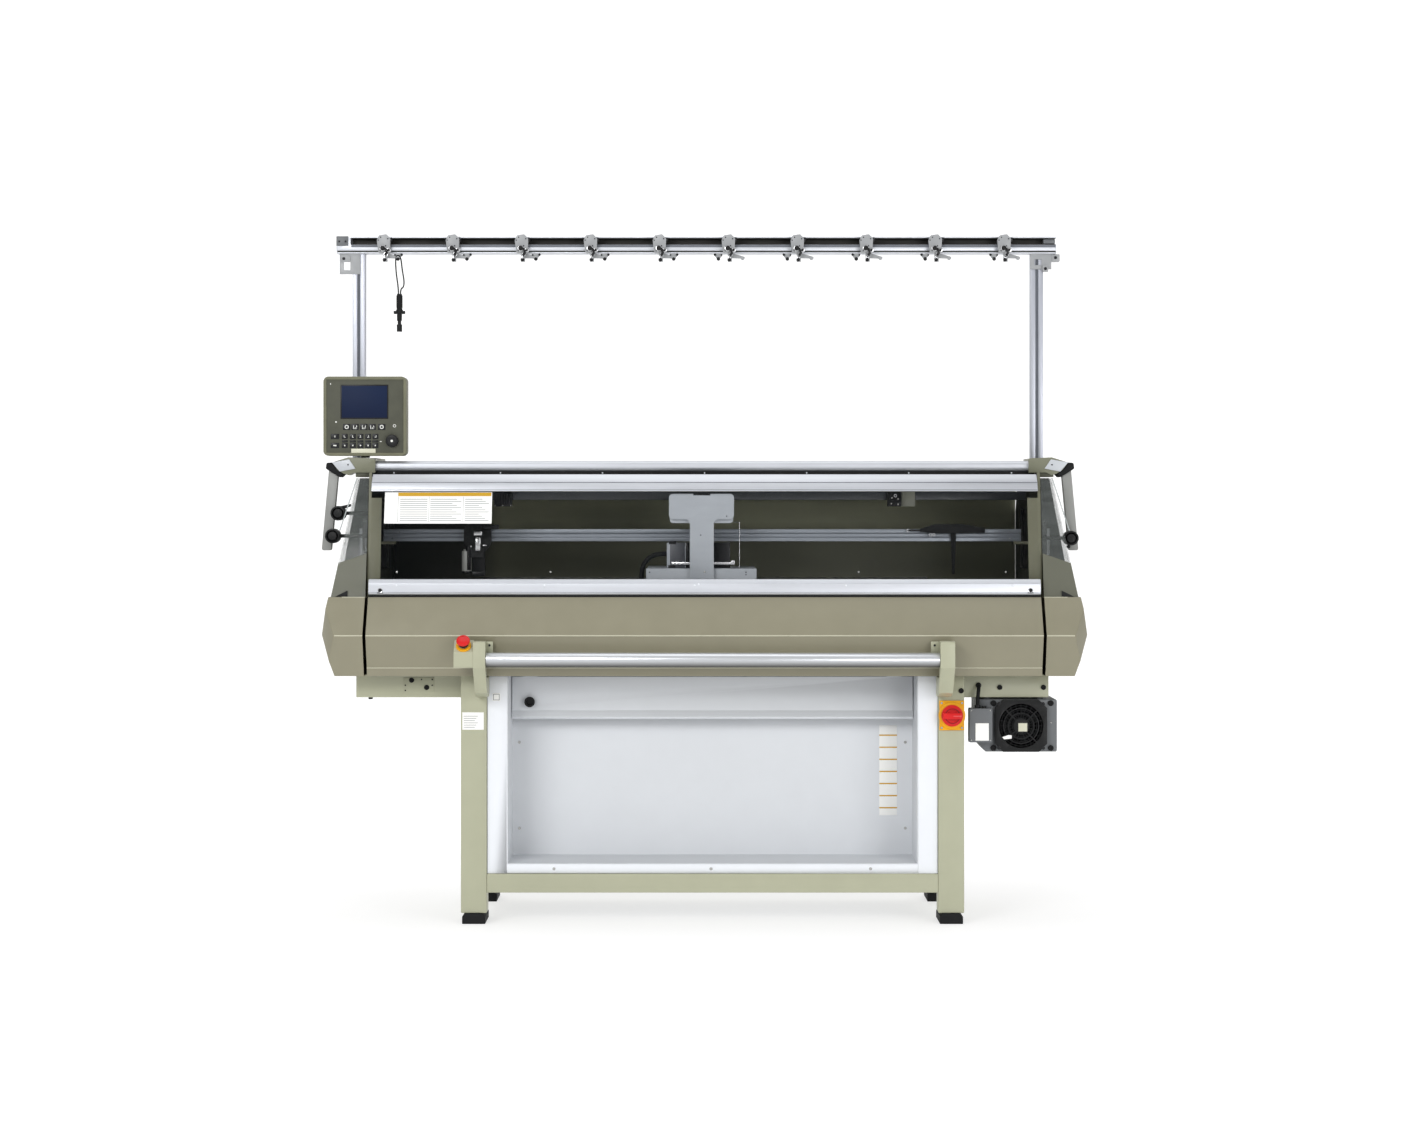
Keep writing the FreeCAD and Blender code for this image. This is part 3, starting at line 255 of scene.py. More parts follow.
# A little darker than the surround's white, as painted shade inside the fabric chamber.
SHADED_TRAY_WHITE = painted("shaded_tray_paint", "#D5D8DC", roughness=0.45, dust=0.03)
CABINET = painted("cabinet_paint", "#9A9E9F", roughness=0.45)
CAST = painted("cast_paint", "#55564C", roughness=0.6, peel=0.0005, grain=0.003)
BRACKET = painted("bracket_paint", "#737461", roughness=0.42)
UNIT_GREY = painted("tension_unit_paint", "#9A9C9E", roughness=0.36, dust=0.05)
LIGHT = painted("light_grey_paint", "#BBBFC4", roughness=0.36, dust=0.04)
CARRIAGE_GREY = painted("carriage_paint", "#A0A5AB", roughness=0.38, dust=0.05)
ARM_GREY = painted("arm_paint", "#8E8F8C", roughness=0.42, dust=0.05)
FAN_GREY = painted("fan_box_paint", "#626568", roughness=0.42)
ALUMINIUM = extruded("anodised_aluminium", "#CFD2D8", roughness=0.42, metallic=0.75)
UPRIGHT = extruded("upright_aluminium", "#B4B7C0", roughness=0.4, along=(1, 1, 0.02), metallic=0.6)
FEEDER = extruded("feeder_aluminium", "#8C929A", roughness=0.42, metallic=0.5)
SLOT = moulded("slot_grey", "#6E7279", roughness=0.6)
RAIL_DARK = painted("dark_rail_paint", "#44484C", roughness=0.35)
GROUND = extruded("ground_steel", "#A9A9A6", roughness=0.25, metallic=1.0)
BLACK = moulded("black_plastic", "#101112")
RUBBER = moulded("black_rubber", "#131415", roughness=0.7, grain=0.0012, deep=0.0001)
SATIN_BLACK = moulded("satin_black", "#161719", roughness=0.35)
PANEL = moulded("panel_olive", "#6F6F5B", roughness=0.5, grain=0.0009)
PANEL_FACE = moulded("panel_face", "#4F5045", roughness=0.55)
RED = moulded("signal_red", "#D21A1C", roughness=0.32, grain=0.004, deep=0.00002, coat=0.1)
YELLOW = moulded("signal_yellow", "#E6A413", roughness=0.4, grain=0.004, deep=0.00002)
CLEAR = clear("clear_sheet", "#20262A", 0.035)
SHIELD = clear("shield_sheet", "#777C7A", 0.22)
# A pale rod along each shield's bend: a painted highlight.
SHIELD_BEND_HIGHLIGHT = clear("shield_bend_highlight", "#B4BABA", 0.75, roughness=0.15)
# A dark liner that paints the shade in the rail's channel.
CHANNEL_SHADE = painted("channel_shade", "#24241F", roughness=0.55)
BRIGHT = extruded("bright_steel", "#C9CACC", roughness=0.22, along=(1, 1, 1), lines=0.004, metallic=1.0)
DARK_GREY = painted("coil_grey", "#4A4C52", roughness=0.4)
SIDE_PANEL = painted("side_panel_paint", "#5C5D50", roughness=0.42)
PALE_OLIVE = painted("stop_plate_paint", "#8F9084", roughness=0.45)
PALE_PLATE = painted("pale_plate", "#C9C8B4", roughness=0.4, dust=0.03)
CARD = painted("card_white", "#F1F1EE", roughness=0.5, peel=0.00002, dust=0.02)
AMBER = painted("card_amber", "#C79A10", roughness=0.5, peel=0.00002, dust=0.02)
RULE = painted("card_rules", "#7C7E84", roughness=0.5, peel=0.00002, dust=0.02)
KEY = moulded("key_film", "#1B1D1E", roughness=0.35, grain=0.003, deep=0.00001)
MARK = painted("key_marks", "#DADBD6", roughness=0.5, peel=0.00002, dust=0.02)
# Darker and paler copies of the knob's red: painted shade in its groove, a painted highlight on its pointer.
GROOVE_SHADE_RED = moulded("switch_groove_red", "#7A0E14", roughness=0.4)
POINTER_HIGHLIGHT_RED = moulded("switch_pointer_red", "#E2605F", roughness=0.4)
print(len(bpy.data.materials), "finishes")

# %% [markdown]
# ## Finishes that change with their place
# These colours carry painted light. The display is lighter towards its top as a painted reflection, the bar
# is polished where hands run along it and darker below as painted shade, and the lining is darker below the
# feeder rail and at the left as painted shade. Vertex colours could hold this, but a ramp on the height needs
# no denser mesh.

# %% Screen, bar and lining


def screen_finish():
    """A dark display that is off: deep blue under glass, a little lighter towards the top as painted
    reflection.
    """
    made = Finish("screen_glass", Roughness=0.5, Specular_IOR_Level=0.12)
    gradient_wobble = made.noise(0.08, 2)
    # The lighter top is a painted reflection of the brighter room above.
    made.shade(Base_Color=made.blend(made.ramp(made.along("Z") + gradient_wobble * 0.05, 1.37, 1.48), light("#111B35"),
                                     light("#16233F")))
    return made.material


def bar_finish():
    """The operation bar's aluminium, polished by hands on top and dull below, and darker below as painted
    shade.
    """
    made = Finish("bar_aluminium", Metallic=0.7, Roughness=0.3)
    streak = made.noise(0.0006, 2, scale=(0.02, 1, 1))
    height = made.along("Z") + streak * 0.002
    # Darker below about 0.703 m as painted shade, lighter above.
    shaded_below = made.blend(made.ramp(height, 0.703, 0.722), light("#5E5D59"), light("#CDD0D4"))
    made.shade(Base_Color=shaded_below, Roughness=made.ramp(height, 0.700, 0.730, 0.5, 0.28),
               Normal=made.relief(streak, 0.00002))
    return made.material


def lining_finish():
    """The inside of the rear cover: lighter above the feeder rail, darker below it and at the left as painted
    shade.
    """
    made = Finish("lining_paint", Roughness=0.5, Specular_IOR_Level=0.4)
    shade_wobble = made.noise(0.05, 3) * 0.02
    tone = made.blend(made.ramp(made.along("Z") + shade_wobble, 1.04, 1.09), light("#5F604F"), light("#97987F"))
    # Dark at the left end as painted shade inside the machine.
    lit_share = made.ramp(made.along("X") + shade_wobble, -0.66, -0.58)
    made.shade(Base_Color=made.blend(lit_share, light("#2A2B26"), tone),
               Normal=made.relief(made.noise(0.0016, 2), 0.00012))
    return made.material


BAR = bar_finish()
LINING = lining_finish()
SCREEN = screen_finish()
print("patterned finishes:", BAR.name, LINING.name, SCREEN.name)

# %% [markdown]
# ## Screws
# Screw heads are too small to show a pattern, so two plain materials do: bright zinc and black oxide.

# %% Screw finishes
STEEL = Finish("bright_screws", Metallic=1.0, Roughness=0.25, Base_Color=light("#B8B8B4")).material
BLACK_OXIDE = Finish("black_screws", Metallic=0.6, Roughness=0.45, Base_Color=light("#26262A")).material

# %% [markdown]
# ## Pieces
# A bmesh is a mesh in the making, which any number of forms can be added to. `piece` makes it one object,
# marks its sharp edges, and lets it ride on the body of the real machine that carries it, so that a screw
# in the cover swings with the cover. One object per family is lighter than one per screw.

# %% Axes and pieces
AXES = {"x": Vector((1, 0, 0)), "y": Vector((0, 1, 0)), "z": Vector((0, 0, 1))}
FRONT = (0, -1, 0)


def piece(name, shape, body, finish, smooth=35):
    """Makes a bmesh an object of one finish that rides on a body, with edges sharper than smooth kept."""
    bmesh.ops.recalc_face_normals(shape, faces=shape.faces)
    mesh = bpy.data.meshes.new(name)
    shape.to_mesh(mesh)
    shape.free()
    mesh.materials.append(finish)
    mesh.shade_smooth()
    mesh.set_sharp_from_angle(angle=math.radians(smooth))
    made = bpy.data.objects.new(name, mesh)
    scene.collection.objects.link(made)
    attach(made, body)
    print(f"{name}: {len(mesh.polygons)} faces, rides on {body}")
    return made


def turned(axis):
    """The turn that brings Z round to an axis, given by its letter or as a vector."""
    axis = AXES[axis] if isinstance(axis, str) else Vector(axis).normalized()
    return AXES["z"].rotation_difference(axis).to_matrix().to_4x4()


def corner(node):
    """A function that measures places from the low corner of a frame part's box."""
    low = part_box(node)[0]
    return lambda x, y, z: low + Vector((x, y, z))


# %% [markdown]
# ## Forms
# Most small parts on a machine are a turned disc, a bevelled block or a strip cut from a drawn outline.
# They could be added as editor primitives and scaled, but a bmesh operator leaves the size in the mesh
# itself, so that every object stays at the origin, unturned and unscaled. Each helper below adds one such
# form.

# %% Blocks, discs, rings and outlines


def block(shape, low, high, edge=0.0):
    """A block between two corners, with its edges bevelled if asked."""
    low, high = Vector(low), Vector(high)
    made = bmesh.ops.create_cube(shape, size=1.0,
                                 matrix=Matrix.LocRotScale((low + high) / 2, None, high - low))
    if edge:
        edges = {e for v in made["verts"] for e in v.link_edges}
        bmesh.ops.bevel(shape, geom=list(edges), offset=edge, segments=2, profile=0.5,
                        affect="EDGES", material=-1)


def disc(shape, middle, axis, radius, long, steps=32, edge=0.0, top=None):
    """A turned disc or shaft centred on middle."""
    made = bmesh.ops.create_cone(shape, cap_ends=True, segments=steps, radius1=radius,
                                 radius2=radius if top is None else top, depth=long,
                                 matrix=Matrix.Translation(middle) @ turned(axis))
    if edge:
        caps = [f for f in {f for v in made["verts"] for f in v.link_faces} if len(f.verts) == steps]
        bmesh.ops.bevel(shape, geom=list({e for f in caps for e in f.edges}), offset=edge, segments=2,
                        profile=0.5, affect="EDGES", material=-1)


def lathe(shape, start, axis, profile, steps=40):
    """Spins a profile of (radius, distance along the axis) pairs into a closed turned part."""
    older = set(shape.verts)
    spots = [shape.verts.new((radius, 0, rise)) for radius, rise in profile]
    edges = [shape.edges.new(pair) for pair in zip(spots, spots[1:])]
    bmesh.ops.spin(shape, geom=spots + edges, cent=(0, 0, 0), axis=(0, 0, 1), angle=math.tau, steps=steps,
                   use_merge=True, use_duplicate=False)
    bmesh.ops.remove_doubles(shape, verts=[v for v in shape.verts if v not in older], dist=1e-6)
    bmesh.ops.transform(shape, matrix=Matrix.Translation(start) @ turned(axis),
                        verts=[v for v in shape.verts if v not in older])


def ring(shape, start, axis, inner, outer, low, high, steps=40):
    """A square-edged ring between two radii, and between two distances along the axis."""
    lathe(shape, start, axis, [(inner, low), (outer, low), (outer, high), (inner, high), (inner, low)], steps)


def ball(shape, middle, radius):
    """A small round bead."""
    bmesh.ops.create_uvsphere(shape, u_segments=16, v_segments=10, radius=radius,
                              matrix=Matrix.Translation(middle))


def outline(shape, points, plane, start, end, edge=0.0, corners=0.0):
    """A flat outline on xy, xz or yz, given thickness from start to end, with rounded corners if asked."""
    spots = []
    for a, b in points:
        place = {"xy": (a, b, start), "xz": (a, start, b), "yz": (start, a, b)}[plane]
        spots.append(shape.verts.new(place))
    face = shape.faces.new(spots)
    push = {"xy": (0, 0, end - start), "xz": (0, end - start, 0), "yz": (end - start, 0, 0)}[plane]
    made = bmesh.ops.extrude_face_region(shape, geom=[face])
    moved = [item for item in made["geom"] if isinstance(item, bmesh.types.BMVert)]
    bmesh.ops.translate(shape, vec=push, verts=moved)
    top = next(item for item in made["geom"] if isinstance(item, bmesh.types.BMFace))
    if corners:
        upright = [e for v in spots for e in v.link_edges if e.other_vert(v) in moved]
        bmesh.ops.bevel(shape, geom=upright, offset=corners, segments=6, profile=0.5, affect="EDGES",
                        material=-1)
    if edge:
        whole = [f for f in shape.faces if f.is_valid and (f is face or f is top)]
        bmesh.ops.bevel(shape, geom=list({e for f in whole for e in f.edges}), offset=edge, segments=2,
                        profile=0.5, affect="EDGES", material=-1)


# %% [markdown]
# ## Screws, and skins over the frame's parts
# A screw head is a short cone with a socket sunk in its top. Sharp edges look false because no real edge is
# perfectly sharp: a folded sheet has a radius, and paint rounds a casting. `softened` copies a part of the
# frame and gives the copy a live bevel, which is easier to tune than bevelled geometry, and says which part
# it replaces.

# %% Screws and skins


def fasteners(name, body, spots, axis, radius=0.004, finish=STEEL, high=0.0025):
    """A family of screws with domed heads and a socket, seated on a surface and pointing along axis."""
    shape = bmesh.new()
    way = AXES[axis] if isinstance(axis, str) else Vector(axis)
    for spot in spots:
        head = bmesh.ops.create_cone(shape, cap_ends=True, segments=16, radius1=radius, radius2=radius * 0.8,
                                     depth=high, matrix=Matrix.Translation(Vector(spot) + way * high / 2)
                                     @ turned(way))
        cap = max((f for v in head["verts"] for f in v.link_faces),
                  key=lambda f: f.calc_center_median().dot(way) + (len(f.verts) == 16))
        inner = bmesh.ops.inset_individual(shape, faces=[cap], thickness=radius * 0.35, depth=0)
        bmesh.ops.inset_individual(shape, faces=[cap], thickness=radius * 0.02, depth=-high * 0.6)
    return piece(name, shape, body, finish, smooth=30)


def blocks(name, body, finish, *forms):
    """A piece made of bevelled blocks, each given as two corners and an edge."""
    shape = bmesh.new()
    for form in forms:
        block(shape, *form)
    return piece(name, shape, body, finish)


def looks_in(face):
    """True for a face that looks towards the machine's middle."""
    return (Vector((0.0, 0.0, 1.05)) - face.center).dot(face.normal) > 0


def softened(node, finish, edge=0.0012, segments=2, angle=30, second=None, where=looks_in):
    """Stands for a CAD node with the same shape, its edges broken as a real sheet or casting has them. Faces
    that pass the test where take the second finish, if there is one."""
    source = frame["nodes"][node]
    shape = bmesh.new()
    shape.from_mesh(source.data)
    bmesh.ops.remove_doubles(shape, verts=shape.verts, dist=2e-6)
    bmesh.ops.dissolve_limit(shape, angle_limit=math.radians(1.0), verts=shape.verts, edges=shape.edges)
    mesh = bpy.data.meshes.new(node)
    shape.to_mesh(mesh)
    shape.free()
    mesh.materials.append(finish)
    if second:
        mesh.materials.append(second)
        for face in mesh.polygons:
            face.material_index = int(where(face))
    mesh.shade_smooth()
    made = bpy.data.objects.new(node + "_skin", mesh)
    scene.collection.objects.link(made)
    if edge:
        bevel = made.modifiers.new("broken_edges", "BEVEL")
        bevel.width, bevel.segments, bevel.limit_method = edge, segments, "ANGLE"
        bevel.angle_limit = math.radians(angle)
        bevel.harden_normals = True
        bevel.use_clamp_overlap = True
    else:
        mesh.set_sharp_from_angle(angle=math.radians(angle))
    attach(made, body_of_node[node])
    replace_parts(made, node)
    print(f"{node}: {len(mesh.polygons)} faces in {finish.name}")


def finish_node(node, finish):
    """Gives a CAD node that already has the right shape its finish."""
    item = frame["nodes"][node]
    item.data.materials.clear()
    item.data.materials.append(finish)


# %% [markdown]
# ## Studio
# A machine that is shown on white needs soft light from most sides and a little more from above. A sky
# texture would tint the paint, so a plain room does the work, brighter overhead. The camera sees it as pure
# white, and large lamps put long, soft reflections on the rails.

# %% Backdrop and light


def backdrop():
    """One sheet that runs from in front of the machine to behind it, and curves up into a wall."""
    shape = bmesh.new()
    profile = [(-14.0, 0.0), (4.5, 0.0)]
    turns = [i * math.pi / 24 for i in range(1, 13)]
    profile += [(4.5 + 2 * math.sin(a), 2 - 2 * math.cos(a)) for a in turns]
    profile += [(6.5, 9.0)]
    spots = [shape.verts.new((-12, y, z)) for y, z in profile]
    edges = [shape.edges.new(pair) for pair in zip(spots, spots[1:])]
    made = bmesh.ops.extrude_edge_only(shape, edges=edges)
    moved = [v for v in made["geom"] if isinstance(v, bmesh.types.BMVert)]
    bmesh.ops.translate(shape, vec=(24, 0, 0), verts=moved)
    mesh = bpy.data.meshes.new("backdrop")
    shape.to_mesh(mesh)
    shape.free()
    mesh.shade_smooth()
    pale = Finish("pale_backdrop", Roughness=0.9, Base_Color=(0.45, 0.45, 0.45), Specular_IOR_Level=0.1,
                  Emission_Color=(1.0, 1.0, 1.0), Emission_Strength=0.62)
    mesh.materials.append(pale.material)
    made = bpy.data.objects.new("backdrop", mesh)
    scene.collection.objects.link(made)


def lamp(name, spot, aim, size, power):
    """A rectangular lamp that looks from spot to aim."""
    data = bpy.data.lights.new(name, "AREA")
    data.shape, data.size, data.size_y, data.energy = "RECTANGLE", size[0], size[1], power
    made = bpy.data.objects.new(name, data)
    made.location = spot
    made.rotation_euler = (Vector(aim) - Vector(spot)).to_track_quat("-Z", "Y").to_euler()
    scene.collection.objects.link(made)


def studio():
    """A soft room that is brighter overhead, seen by the camera as plain white."""
    world = bpy.data.worlds.new("studio")
    world.use_nodes = True
    tree = world.node_tree
    room = tree.nodes["Background"]
    spot, parts, fade, plain, ray, mix = (tree.nodes.new("ShaderNode" + kind) for kind in (
        "TexCoord", "SeparateXYZ", "MapRange", "Background", "LightPath", "MixShader"))
    for socket, value in (("From Min", -0.1), ("From Max", 0.9), ("To Min", 0.42), ("To Max", 0.62)):
        fade.inputs[socket].default_value = value
    for ground in (room, plain):
        ground.inputs["Color"].default_value = (1, 1, 1, 1)
    for out, socket in ((spot.outputs["Generated"], parts.inputs[0]),
                        (parts.outputs["Z"], fade.inputs["Value"]),
                        (fade.outputs[0], room.inputs["Strength"]),
                        (ray.outputs["Is Camera Ray"], mix.inputs[0]),
                        (room.outputs[0], mix.inputs[1]), (plain.outputs[0], mix.inputs[2]),
                        (mix.outputs[0], tree.nodes["World Output"].inputs["Surface"])):
        tree.links.new(out, socket)
    scene.world = world


backdrop()
studio()
lamp("key", (-2.6, -5.0, 2.8), (0, 0, 0.9), (2.4, 1.6), 120)
lamp("fill", (3.2, -4.8, 1.8), (0, 0, 0.8), (2.4, 2.0), 80)
lamp("top", (0, -0.4, 4.6), (0, 0, 0), (4.0, 2.0), 35)
lamp("wall", (0, 2.2, 3.6), (0, 6.0, 1.2), (6.0, 1.5), 120)
print(len(bpy.data.lights), "lamps")

# %% [markdown]
# ## The stand
# Two welded side frames carry the bed, and floor beams tie them. The frame's own shapes are right already,
# so nothing is modelled again: each part only gets its finish and slightly broken edges, as thick paint
# gives it.

# %% Stand, feet and chamber
for node in ("left_stand_frame", "right_stand_frame", "floor_beams"):
    softened(node, KHAKI, 0.0025)
# The tray and the deflector take the darker white as painted shade.
for node, finish, edge in (("levelling_feet", RUBBER, 0.002), ("chamber_surround", WHITE, 0.0012),
                           ("chamber_tray", SHADED_TRAY_WHITE, 0.0008), ("deflector_panel", SHADED_TRAY_WHITE, 0.001),
                           ("control_cabinet", CABINET, 0.0008)):
    softened(node, finish, edge)
finish_node("bed_beam", CAST)

# %% [markdown]
# ## Casing
# The casing is folded and cast parts in taupe paint, over darker end frames. A sheet that is seen from both
# sides has two finishes: the end frames' inward faces take a darker olive as painted shade, and the rear
# cover's inside takes a lining with painted shade of its own. Two shells would leave a seam, so one mesh has
# two materials, and each face takes its own by the way it looks.

# %% Casing, end frames and brackets
softened("front_fascia", TAUPE, 0.003)
softened("end_caps", TAUPE, 0.004, 3)
# The rear cover's inside takes the lining, whose darker parts are painted shade.
softened("rear_cover", TAUPE, 0.002, second=LINING)
# The inward faces take the darker olive as painted shade.
softened("cover_end_frames", FRAME_OLIVE, 0.001, second=SHADED_OLIVE)
softened("left_end_bracket", BRACKET, 0.003)
softened("right_end_bracket", BRACKET, 0.003)
softened("hand_grips", RUBBER, 0.003, 3)
plate_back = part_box("left_end_bracket")[0].y + 0.0001
softened("guard_arms", ARM_GREY, 0.0012, second=LIGHT, where=lambda face: face.center.y < plate_back)
softened("side_handles", BLACK, 0.002)

# %% [markdown]
# ## Folded edges
# A fold in painted sheet catches the light as one thin bright line. A bevel in the sheet would need a very
# narrow band of faces, so a thin round bead along each fold stands for it, in a paler paint that paints the
# highlight.

# %% Folded edges that catch the light
fascia_low, fascia_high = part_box("front_fascia")
ridge_y, ridge_z = fascia_low.y, fascia_low.z + 0.110
cap_near, cap_bevel, sheet_end = 0.9135, 0.9880, fascia_high.x - 0.0005
highlight_beads = bmesh.new()
for a, b in ((-sheet_end, sheet_end), (cap_near, cap_bevel), (-cap_bevel, -cap_near)):
    disc(highlight_beads, ((a + b) / 2, ridge_y + 0.0010, ridge_z), "x", 0.0017, b - a, 12)
disc(highlight_beads, (0, ridge_y + 0.0308, fascia_low.z + 0.0225), "x", 0.0013, 2 * sheet_end, 12)
for side in (-1, 1):
    disc(highlight_beads, (side * (cap_near + 0.031), ridge_y + 0.0608, fascia_high.z - 0.0008), "x", 0.0014, 0.062, 12)
piece("fold_highlights", highlight_beads, "frame", FOLD_HIGHLIGHT)

# %% [markdown]
# ## Rails and clear cover
# The rails are drawn aluminium, with its dull silver and fine lines along the length. The window is a thin
# clear sheet. Real refraction could be used, but so thin a sheet hardly bends light, so Alpha and a sharp
# gloss give the same look in less time.

# %% Cover, rails and tube
softened("cover_bottom_rail", ALUMINIUM, 0.0015)
softened("cover_top_rail", ALUMINIUM, 0.0015)
softened("cover_window", CLEAR, 0.0)
softened("head_tube", ALUMINIUM, 0.0, angle=30)
softened("feeder_rail", FEEDER, 0.001)
softened("upper_rail", RAIL_DARK, 0.001)
softened("top_rail", ALUMINIUM, 0.001)
softened("yarn_stand", UPRIGHT, 0.0008, second=UNIT_GREY, where=lambda face: face.center.z > 1.75)

# %% [markdown]
# ## Needle beds
# A bed is a ground steel plate with one trick milled for each needle, ten to the inch. What is left between
# two tricks is a land, so the bed is drawn as a thinner plate that carries a long row of lands.

# %% Needle beds
needle_pitch, land_wide, trick_deep = 0.00254, 0.0015, 0.0017


def needle_bed(node):
    """One sloping bed with its lands, in place of the plain plate. Its ridge is the end by the other bed."""
    low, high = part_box(node)
    thick = (high.z - low.z) - (high.y - low.y)
    foot, ridge = (low.y, high.y) if low.y + high.y < 0 else (high.y, low.y)
    foot_top = low.z + thick
    shape = bmesh.new()
    outline(shape, [(foot, low.z), (ridge, high.z - thick), (ridge, high.z - trick_deep),
                    (foot, foot_top - trick_deep)], "yz", low.x, high.x)
    sunk = 1.2 * trick_deep
    land = [(foot, foot_top - sunk), (ridge, high.z - sunk), (ridge, high.z), (foot, foot_top)]
    lands = int((high.x - low.x) / needle_pitch) + 1
    for i in range(lands):
        start = low.x + i * needle_pitch
        outline(shape, land, "yz", start, min(start + land_wide, high.x))
    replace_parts(piece(node + "_lands", shape, body_of_node[node], GROUND, smooth=20), node)
    print(node, lands, "lands")


needle_bed("front_needle_bed")
needle_bed("rear_needle_bed")

# %% [markdown]
# ## Carriage, carrier and tension units
# Cast and machined parts are given a wider broken edge than sheet has. The ten tension knobs share one
# shape, and each is a body of its own, so a loop gives every one its skin.

# %% Carriage and roller
finish_node("takedown_roller", RUBBER)
softened("carriage_base", CARRIAGE_GREY, 0.002)
softened("carriage_bridge", CARRIAGE_GREY, 0.004, 3)
softened("yarn_carrier", RUBBER, 0.001)
softened("rail_units", BLACK, 0.001)
softened("tension_plates", UNIT_GREY, 0.0008)
for i in range(1, 11):
    softened(f"tension_knob_{i:02d}", BLACK, 0.001)

# %% [markdown]
# ## Controls, fan and bar
# What the operator touches is coloured by its use: red and yellow for stopping, black for turning, bare
# aluminium for the bar that starts the machine. Their shapes come with the frame, so only edges and finish
# are added.

# %% Controls, fan and bar
for node, finish, edge in (("operation_bar", BAR, 0.001), ("bar_brackets", KHAKI, 0.002),
                           ("switch_plate", YELLOW, 0.001), ("switch_knob", RED, 0.002),
                           ("fan_box", FAN_GREY, 0.0012), ("fan_guard", BLACK, 0.0006),
                           ("fan_rotor", BLACK, 0.0), ("junction_box", FAN_GREY, 0.0015),
                           ("panel_housing", PANEL, 0.002), ("panel_dial", BLACK, 0.001)):
    softened(node, finish, edge)
finish_node("hook_tool", BLACK)

# %% [markdown]
# ## Thread rail
# Yarn comes down from ten cones, through one tension unit each. The rail that holds the units has a deep
# channel, where their signal wires run and shade fills it. Painting the rail's own faces would leave no
# depth, so a thin dark liner, drawn in section and pulled along the rail, paints the shade in the channel.

# %% Rail trim and column fittings
rail_low, rail_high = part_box("top_rail")
channel = bmesh.new()
outline(channel, [(rail_low.y + 0.001, rail_low.z + 0.0255), (rail_high.y - 0.0075, rail_low.z + 0.0255),
                  (rail_high.y - 0.0075, rail_high.z - 0.0045), (rail_low.y + 0.001, rail_high.z - 0.0045),
                  (rail_low.y + 0.001, rail_high.z - 0.0055), (rail_high.y - 0.0085, rail_high.z - 0.0055),
                  (rail_high.y - 0.0085, rail_low.z + 0.0265), (rail_low.y + 0.001, rail_low.z + 0.0265)],
        "yz", rail_low.x + 0.0415, rail_high.x - 0.002)
block(channel, (rail_low.x + 0.002, rail_low.y + 0.0002, rail_low.z + 0.0042),
      (rail_high.x - 0.002, rail_low.y + 0.003, rail_low.z + 0.0078))
# The liner is painted shade in the channel.
piece("channel_shade", channel, "frame", CHANNEL_SHADE, smooth=20)
# A darker strip under the channel's lower lip paints the shade there.
blocks("rail_lip_shade", "frame", SLOT,
       ((rail_low.x + 0.042, rail_low.y - 0.0002, rail_low.z + 0.0175),
        (rail_high.x - 0.002, rail_low.y + 0.002, rail_low.z + 0.0245)))

blocks("rail_end_block", "frame", FAN_GREY,
       ((rail_low.x - 0.0005, rail_low.y - 0.0015, rail_low.z + 0.021),
        (rail_low.x + 0.034, rail_high.y + 0.0015, rail_high.z + 0.001), 0.002),
       ((rail_high.x - 0.036, rail_low.y + 0.004, rail_low.z + 0.028),
        (rail_high.x - 0.003, rail_high.y - 0.009, rail_high.z - 0.007), 0.002))
fasteners("rail_end_screws", "frame", [(rail_low.x + s, rail_low.y - 0.0015, rail_low.z + 0.034)
                                       for s in (0.008, 0.026)], FRONT, 0.003, BLACK_OXIDE)

stand_low, stand_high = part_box("yarn_stand")
liners = bmesh.new()
groove_deep = 0.0115
column_y = stand_low.y + 0.0205
for x in (stand_low.x + 0.0535, stand_high.x - 0.0405):
    for a, b in ((0, -1), (0, 1), (-1, 0), (1, 0)):
        wide = Vector((0.0038 if b else 0.0004, 0.0038 if a else 0.0004, 0))
        middle = Vector((x + a * groove_deep, column_y + b * groove_deep, 0))
        block(liners, middle - wide + AXES["z"] * (stand_low.z + 0.001),
              middle + wide + AXES["z"] * (stand_high.z - 0.001))
piece("slot_liners", liners, "frame", SLOT)
blocks("stand_fittings", "frame", UNIT_GREY,
       ((stand_high.x - 0.026, stand_low.y - 0.0110, rail_low.z - 0.052),
        (stand_high.x - 0.010, stand_low.y - 0.0010, rail_low.z - 0.034), 0.0015),
       ((stand_high.x - 0.004, stand_low.y + 0.0025, rail_low.z - 0.022),
        (stand_high.x + 0.024, stand_low.y + 0.0305, rail_low.z - 0.001), 0.002),
       ((stand_low.x + 0.004, stand_low.y - 0.0035, rail_low.z - 0.024),
        (stand_low.x + 0.03, stand_low.y + 0.0010, rail_low.z - 0.004), 0.0015))
fasteners("stand_bolts", "frame", [(stand_high.x - 0.018, stand_low.y - 0.0110, rail_low.z - 0.043),
                                   (stand_high.x + 0.012, stand_low.y + 0.0025, rail_low.z - 0.011),
                                   (stand_low.x + 0.012, stand_low.y - 0.0035, rail_low.z - 0.014)],
          FRONT, 0.0045, BLACK_OXIDE, 0.004)

# %% [markdown]
# ## Tension units
# Ten units stand along the rail at one pitch, and the right half mirrors the left. They could be one object
# copied ten times, but linked copies would each need a place of their own, so a function adds every unit to
# three shared meshes, one for each finish.

# %% Tension units
unit_first, unit_pitch = -0.903, 0.194


